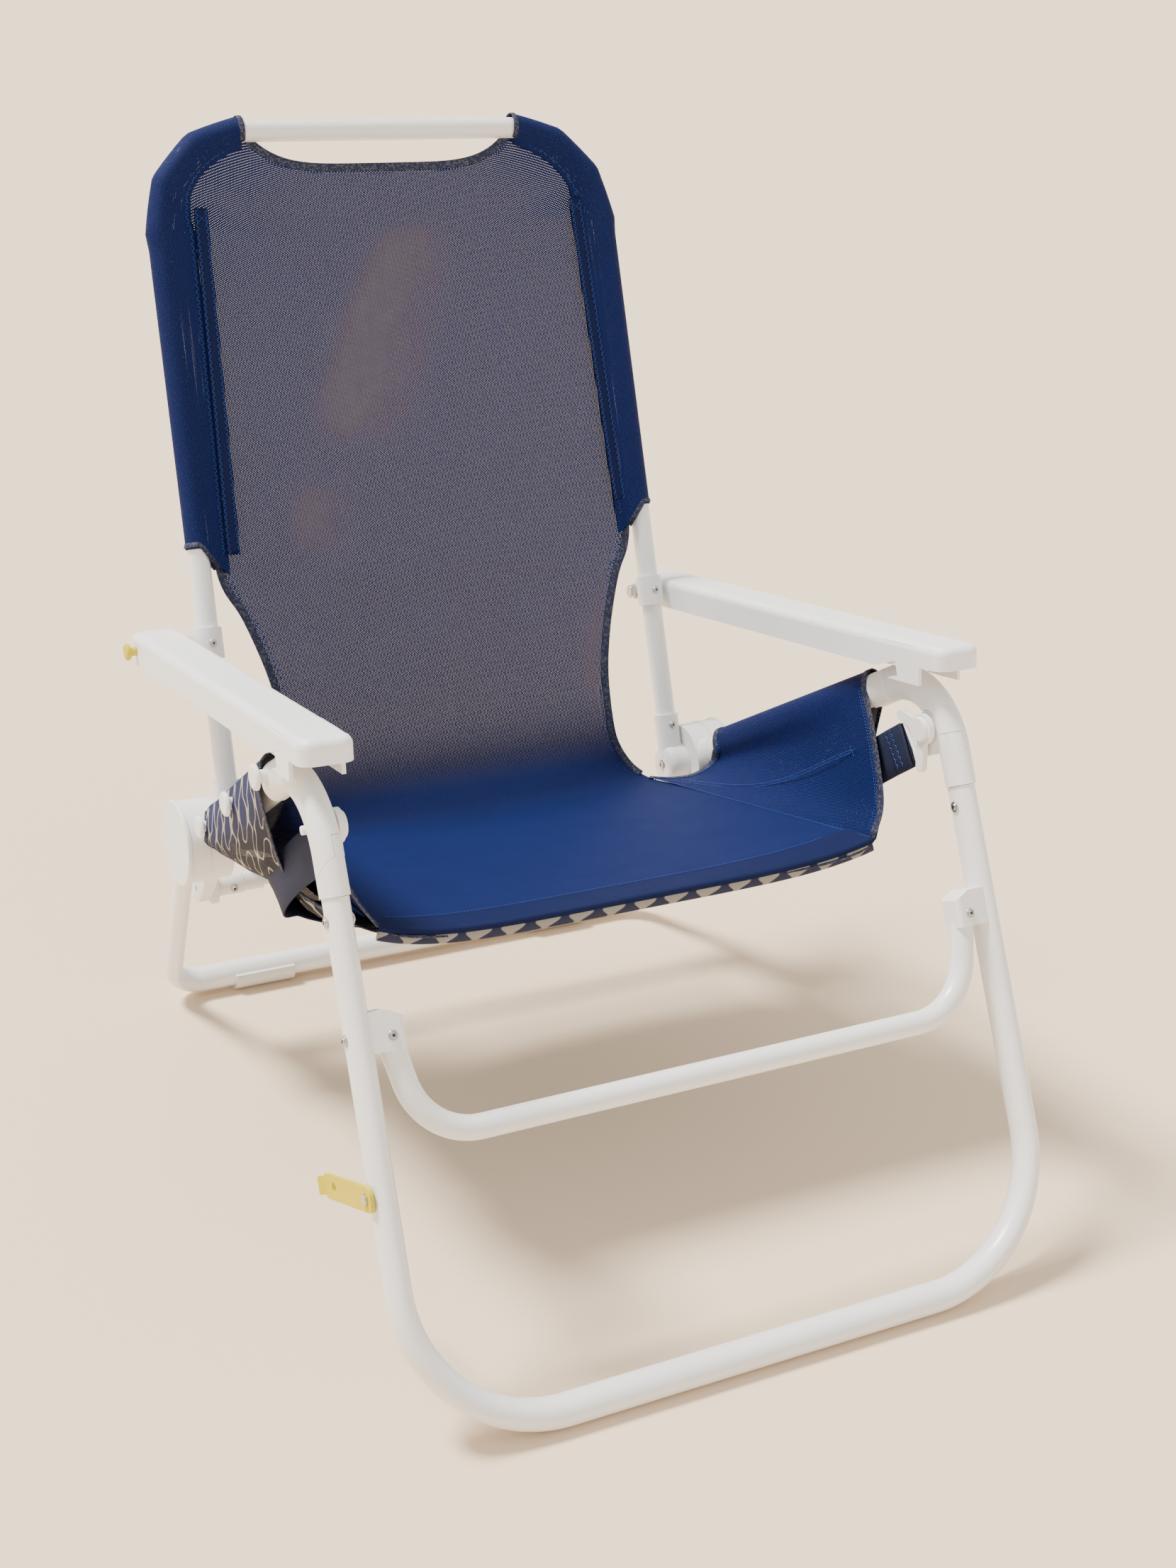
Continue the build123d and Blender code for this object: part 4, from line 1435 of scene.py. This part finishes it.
@dataclass
class EdgeTrims:
    """Bindings along the waist and the neck of the main sheet.

    waist holds the two parts of the sheet's rows between which the waist edge is free.
    """

    layout: Layout
    waist: tuple[float, float] = (7.2 / 26, 16.6 / 26)

    def build(self, sheet: np.ndarray, braid: bpy.types.Material, neck: bpy.types.Material,
              thread: Stitching) -> None:
        """Make the trims.

        Args:
            sheet: rows of the main sheet.
            braid: blue binding of the waist.
            neck: dark binding of the neck.
            thread: collects the stitches.
        """
        top = sheet[-1]
        into = sheet[-3] - top
        tape = sweep("neck_binding", top, into, tape_section(9 * MM, 2.4 * MM))
        dress(tape, neck, "back_frame")
        normal = self.layout.back_normal()
        inside = into / np.linalg.norm(into, axis=1)[:, None]
        thread.run((top + inside * 6.5 * MM + normal * 0.6 * MM)[2:-2], normal)
        stations = np.linspace(0, 1, len(sheet))
        low, high = self.waist
        rows = [i for i, part in enumerate(stations) if low <= part <= high]
        for side, column, near in ((Side.RIGHT, 0, 1), (Side.LEFT, -1, -2)):
            edge = sheet[rows, column]
            inward = sheet[rows, near] - edge
            binding = sweep(f"waist_binding_{side.label}", edge, inward, tape_section(9 * MM, 2.2 * MM))
            dress(binding, braid, None)
            self.layout.bend_with_back(binding)
            away = inward / np.linalg.norm(inward, axis=1)[:, None]
            for inset in (7.0 * MM, 9.5 * MM):
                thread.run((edge + away * inset + normal * 0.5 * MM)[8:], normal)


@dataclass
class Sling:
    """All cloth of the seat and back."""

    layout: Layout

    def build(self, finishes: dict[str, bpy.types.Material]) -> None:
        """Make every sheet, trim and seam of the sling.

        Args:
            finishes: materials by name.
        """
        back_thread, seat_thread = Stitching(), Stitching()
        sheet = MainSheet(self.layout).build(finishes["sheet"])
        for side in Side:
            sleeve = Sleeve(self.layout, side)
            sleeve.build(finishes["double"], finishes["neck"], back_thread)
            sleeve.strip(finishes["band"], back_thread)
            loose = side is Side.RIGHT
            wing = Wing(self.layout, side, first=66.0 if loose else 75.0, loop=9.0 if loose else 4.5,
                        outward=7.0 if loose else 0.0)
            wing.build(finishes["wing"], finishes["braid"], seat_thread)
        OuterSheet(self.layout).build(finishes["leaf"], finishes["braid"])
        FrontHem().build(sheet, finishes["band"], finishes["piping"], seat_thread)
        EdgeTrims(self.layout).build(sheet, finishes["braid"], finishes["neck"], back_thread)
        back_thread.make("back_stitches", finishes["thread"], "back_frame")
        seat_thread.make("seat_stitches", finishes["thread"], "seat_frame")


@dataclass
class PullStrap:
    """Webbing between the two release levers, under the seat, sewn round each lever's bar."""

    wide: float = 46 * MM
    thick: float = 2.0 * MM

    def stations(self, side: Side) -> list[tuple[np.ndarray, np.ndarray]]:
        """Centre points and width directions from one lever to under the seat's middle.

        Args:
            side: the side of the chair.

        Returns:
            Pairs of point and width direction.
        """
        twist, level = np.array([0, -0.73, -0.69]), np.array([0, -1.0, 0])
        points = [
            ((297, -174.5, 433), twist), ((299, -150, 414), twist), ((302, -110, 381), twist),
            ((303, -72, 344), twist * 0.9 + level * 0.1), ((297, -46, 317), twist * 0.5 + level * 0.5),
            ((281, -41, 303), level), ((258, -47, 295), level), ((232, -56, 290), level),
            ((190, -68, 284), level), ((130, -77, 279.5), level), ((60, -80, 277), level),
            ((0, -80, 276.5), level),
        ]
        return [(mirrored(p, side), a) for p, a in points]

    def build(self, navy: bpy.types.Material, thread_cloth: bpy.types.Material) -> None:
        """Make the strap, its loops and its box stitching.

        Args:
            navy: the webbing.
            thread_cloth: thread of the seams.
        """
        right = self.stations(Side.LEFT)
        left = self.stations(Side.RIGHT)
        chain = right + left[-2::-1]
        path = curve_through([p for p, a in chain], 140)
        source = lengths(np.array([p for p, a in chain]))
        source = source / source[-1]
        sides = np.array([a for p, a in chain])
        part = np.linspace(0, 1, 140)
        across = np.stack([np.interp(part, source, sides[:, k]) for k in range(3)], axis=1)
        strap = sweep("pull_strap_webbing", path, across, tape_section(self.wide, self.thick))
        dress(strap, navy, "seat_frame")
        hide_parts("pull_strap")
        thread = Stitching(0.4 * MM)
        for side in Side:
            chain = self.stations(side)
            top, twist = chain[0]
            twist = twist / np.linalg.norm(twist)
            down = chain[1][0] - top
            down /= np.linalg.norm(down)
            out = np.cross(twist, down)
            out *= np.sign(out[0]) or 1.0
            for layer in (-1, 1):
                lift = out * layer * self.thick * 1.05
                stack = curve_through([top + lift + down * d * MM for d in (-5, 6, 26)], 10)
                where = "outer" if layer * side.value > 0 else "inner"
                piece = sweep(f"strap_fold_{where}_{side.label}", stack, twist,
                              tape_section(self.wide - 1 * MM, self.thick))
                dress(piece, navy, "seat_frame")
            for distance in (12 * MM, 22 * MM):
                for face in (-1, 1):
                    middle = top + down * distance + out * face * self.thick * 1.65
                    line = np.array([middle - twist * self.wide * 0.45, middle + twist * self.wide * 0.45])
                    thread.run(curve_through(line, 12), out * face, 3.0 * MM, 1.2 * MM)
        thread.make("strap_stitches", thread_cloth, "seat_frame")


# ------------------------------------------------------------------ frame parts
@dataclass
class Hardware:
    """Finishes of the tubes, mouldings, rubber parts and screws, and their small details."""

    layout: Layout

    def finish_for(self, name: str) -> str:
        """Name of the finish that a CAD part takes.

        Args:
            name: the CAD part's name.

        Returns:
            The short name of the finish.
        """
        rules = (
            (("back_tube", "rear_leg_tube", "front_leg_tube", "crossbar", "cross_tube", "seat_rail_left",
              "seat_rail_right"), "enamel"),
            (("closing_strap", "strap_knob"), "yellow"),
        )
        for names, finish in rules:
            if name in names:
                return finish
        if name.startswith("armrest"):
            return "arm"
        if name.startswith("foot_pad"):
            return "pad"
        if "screw" in name or name.startswith(("hub_pin", "elbow_pin", "arm_bolt")):
            return "zinc"
        return "moulding"

    def dress_frame(self, finishes: dict[str, bpy.types.Material]) -> None:
        """Give every CAD part its finish.

        Args:
            finishes: materials by short name.
        """
        for name, piece in frame["nodes"].items():
            piece.data.materials.clear()
            piece.data.materials.append(finishes[self.finish_for(name)])

    def screw_crosses(self, finishes: dict[str, bpy.types.Material]) -> None:
        """Put a domed, cross-slotted head on each screw that shows.

        Args:
            finishes: materials by short name.
        """
        for name, body in (("back_screws", "back_frame"), ("seat_screws", "seat_frame"),
                           ("front_leg_screws", "front_legs")):
            source = frame["nodes"][name]
            for k, (centre, axis, radius) in enumerate(self.heads(source)):
                self.head(f"{name}_head_{k}", centre, axis, radius, finishes, body)

    def heads(self, piece: bpy.types.Object) -> list[tuple[Vector, Vector, float]]:
        """Find the screw heads of a CAD part.

        Args:
            piece: the object of a group of short cylinders.

        Returns:
            For each: middle of the outer face, the way out, and the radius.
        """
        mesh = bmesh.new()
        mesh.from_mesh(piece.data)
        bmesh.ops.remove_doubles(mesh, verts=mesh.verts, dist=1e-6)
        left = set(mesh.verts)
        found = []
        while left:
            island, queue = set(), [next(iter(left))]
            while queue:
                vert = queue.pop()
                if vert in island:
                    continue
                island.add(vert)
                queue += [e.other_vert(vert) for e in vert.link_edges]
            left -= island
            points = np.array([v.co for v in island])
            middle = points.mean(0)
            faces = {f for v in island for f in v.link_faces}
            flat: dict = {}
            for f in faces:
                key = tuple(round(c, 2) for c in f.normal)
                flat[key] = flat.get(key, 0.0) + f.calc_area()
            axis = Vector(max(flat, key=flat.get)).normalized()
            away = (points - middle) @ np.array(axis)
            radial = np.linalg.norm((points - middle) - away[:, None] * np.array(axis), axis=1)
            found.append((Vector(middle), axis, float(radial.max())))
        mesh.free()
        found.sort(key=lambda item: tuple(round(c, 4) for c in item[0]))
        return [(c, self.outward(c, a), r) for c, a, r in found]

    def outward(self, centre: Vector, axis: Vector) -> Vector:
        """Turn an axis so that it points out of the tube that the screw sits in.

        Args:
            centre: middle of the head's outer face.
            axis: the way that the screw points.

        Returns:
            The axis, pointing out.
        """
        if abs(axis.x) > 0.9:
            inside = 0.318
            return Vector((math.copysign(1, centre.x) * (1 if abs(centre.x) > inside else -1), 0, 0))
        return axis if axis.y < 0 else -axis

    def head(self, name: str, centre: Vector, axis: Vector, radius: float,
             finishes: dict[str, bpy.types.Material], body: str) -> None:
        """Make a washer ring, a domed head and a dark cross, the painted shadow in its cross recess.

        Args:
            name: the piece's or material's name.
            centre: middle of the head's outer face.
            axis: the way that the screw points.
            radius: radius, in metres.
            finishes: materials by short name.
            body: the body that it rides on, or None to leave it on no body.
        """
        r = radius
        ring = [(r * 1.25, -0.6 * MM), (r * 1.28, 0.2 * MM), (r * 1.2, 0.55 * MM), (r * 0.98, 0.6 * MM),
                (r * 0.9, 0.2 * MM), (r * 0.9, -0.6 * MM)]
        washer = lathe(f"{name}_ring", ring, centre, axis, 28)
        dress(washer, finishes["zinc"], body)
        dome = [(r * 0.86, 0.0), (r * 0.86, 0.9 * MM), (r * 0.78, 1.35 * MM), (r * 0.5, 1.7 * MM),
                (r * 0.36, 1.75 * MM), (r * 0.30, 1.2 * MM), (r * 0.05, 1.0 * MM)]
        top = lathe(f"{name}_dome", dome, centre, axis, 28)
        dress(top, finishes["zinc"], body)
        # The cross is made of dark slabs with the recess_shadow finish: painted shadow standing in for the
        # shade inside the cross recess.
        first = axis.orthogonal().normalized()
        second = axis.cross(first)
        points, faces = [], []
        for a, b in ((first, second), (second, first)):
            base = len(points)
            for h in (1.2, 1.9):
                for da, db in ((-1, -1), (1, -1), (1, 1), (-1, 1)):
                    points.append(tuple(centre + a * da * r * 0.52 + b * db * r * 0.11 + axis * h * MM))
            quads = ((0, 1, 2, 3), (7, 6, 5, 4), (0, 4, 5, 1), (1, 5, 6, 2), (2, 6, 7, 3), (3, 7, 4, 0))
            faces += [tuple(base + i for i in q) for q in quads]
        cross = add_mesh(f"{name}_cross", np.array(points), faces, None, smooth=False)
        dress(cross, finishes["dark"], body)


# ------------------------------------------------------------------ studio
@dataclass
class Studio:
    """Seamless paper, soft light and the camera."""

    eye: tuple[float, float, float] = (-0.8682, -1.68943, 1.24176)
    aim: tuple[float, float, float] = (0.094356, 0.091802, 0.308312)
    roll: float = 0.060376
    lens: float = 48.65
    key_strength: float = 7.0
    fill_strength: float = 1.15

    def camera(self) -> None:
        """Place the camera and make it the scene's."""
        data = bpy.data.cameras.new("camera")
        data.sensor_width = 36.0
        data.lens = self.lens
        made = bpy.data.objects.new("camera", data)
        bpy.context.scene.collection.objects.link(made)
        ahead = (Vector(self.aim) - Vector(self.eye)).normalized()
        right = ahead.cross(Vector((0, 0, 1))).normalized()
        up = right.cross(ahead)
        turned = right * math.cos(self.roll) + up * math.sin(self.roll)
        raised = up * math.cos(self.roll) - right * math.sin(self.roll)
        matrix = Matrix((turned, raised, -ahead)).transposed().to_4x4()
        matrix.translation = Vector(self.eye)
        made.matrix_world = matrix
        bpy.context.scene.camera = made

    def paper(self, material: bpy.types.Material) -> None:
        """Lay the floor.

        Args:
            material: the material of the floor.
        """
        floor = grid("studio_floor", np.array([[(x, y, 0.0) for x in (-14.0, 14.0)] for y in (-14.0, 18.0)]),
                     np.zeros((2, 2, 2)))
        floor.data.materials.append(material)

    def lights(self) -> None:
        """Even fill from the room and a broad key from behind on the left."""
        world = bpy.data.worlds.new("room")
        bpy.context.scene.world = world
        world.use_nodes = True
        background = world.node_tree.nodes["Background"]
        background.inputs[0].default_value = (1.0, 0.985, 0.965, 1.0)
        background.inputs[1].default_value = self.fill_strength
        key = bpy.data.lights.new("key", "SUN")
        key.energy = self.key_strength
        key.angle = math.radians(14)
        key.color = (1.0, 0.98, 0.95)
        lamp = bpy.data.objects.new("key", key)
        lamp.rotation_euler = Vector((1.0, -0.9, -2.3)).to_track_quat("-Z", "Y").to_euler()
        bpy.context.scene.collection.objects.link(lamp)

    def build(self, paper: bpy.types.Material) -> None:
        """Set the whole studio.

        Args:
            paper: the material of the floor.
        """
        self.camera()
        self.paper(paper)
        self.lights()


def make_finishes() -> dict[str, bpy.types.Material]:
    """Build every material once.

    Returns:
        The materials by short name.
    """
    return {
        "enamel": Enamel().make(),
        "moulding": Moulding().make(),
        "arm": Moulding("armrest_plastic", (0.88, 0.88, 0.875), 0.40, 0.00006, 1000.0).make(),
        "yellow": Rubber("yellow_rubber", (0.66, 0.54, 0.005)).make(),
        "pad": Rubber("white_pad_rubber", (0.74, 0.725, 0.69)).make(),
        # recess_shadow is the painted shadow of the screws' cross recesses, made with the rubber shader.
        "dark": Rubber("recess_shadow", (0.02, 0.02, 0.02)).make(),
        "zinc": Zinc().make(),
        "sheet": MeshWeave("sling_sheet_weave", cover=(0.375, 0.47)).make(),
        "double": MeshWeave("sling_double_weave", open_across=0.11, open_along=0.08).make(),
        "wing": MeshWeave("sling_wing_weave", open_across=0.06, open_along=0.05).make(),
        "band": MeshWeave("sling_band_weave", open_across=0.0, open_along=0.0,
                          yarn=(0.006, 0.014, 0.08)).make(),
        "leaf": LeafWeave().make(),
        "piping": PipingCloth().make(),
        "braid": Braid("blue_braid").make(),
        "neck": Braid("navy_braid", light=0.36).make(),
        "thread": SewingThread().make(),
        "webbing": Webbing("navy_webbing", (0.020, 0.027, 0.060), (0.005, 0.007, 0.022)).make(),
        "paper": Paper().make(),
    }


def main() -> None:
    """Build the chair's looks in order."""
    logging.basicConfig(level=logging.INFO, format="%(name)s: %(message)s")
    finishes = make_finishes()
    layout = Layout()
    Studio().build(finishes["paper"])
    hardware = Hardware(layout)
    hardware.dress_frame(finishes)
    hardware.screw_crosses(finishes)
    Sling(layout).build(finishes)
    PullStrap().build(finishes["webbing"], finishes["thread"])


if __name__ == "__main__":
    main()
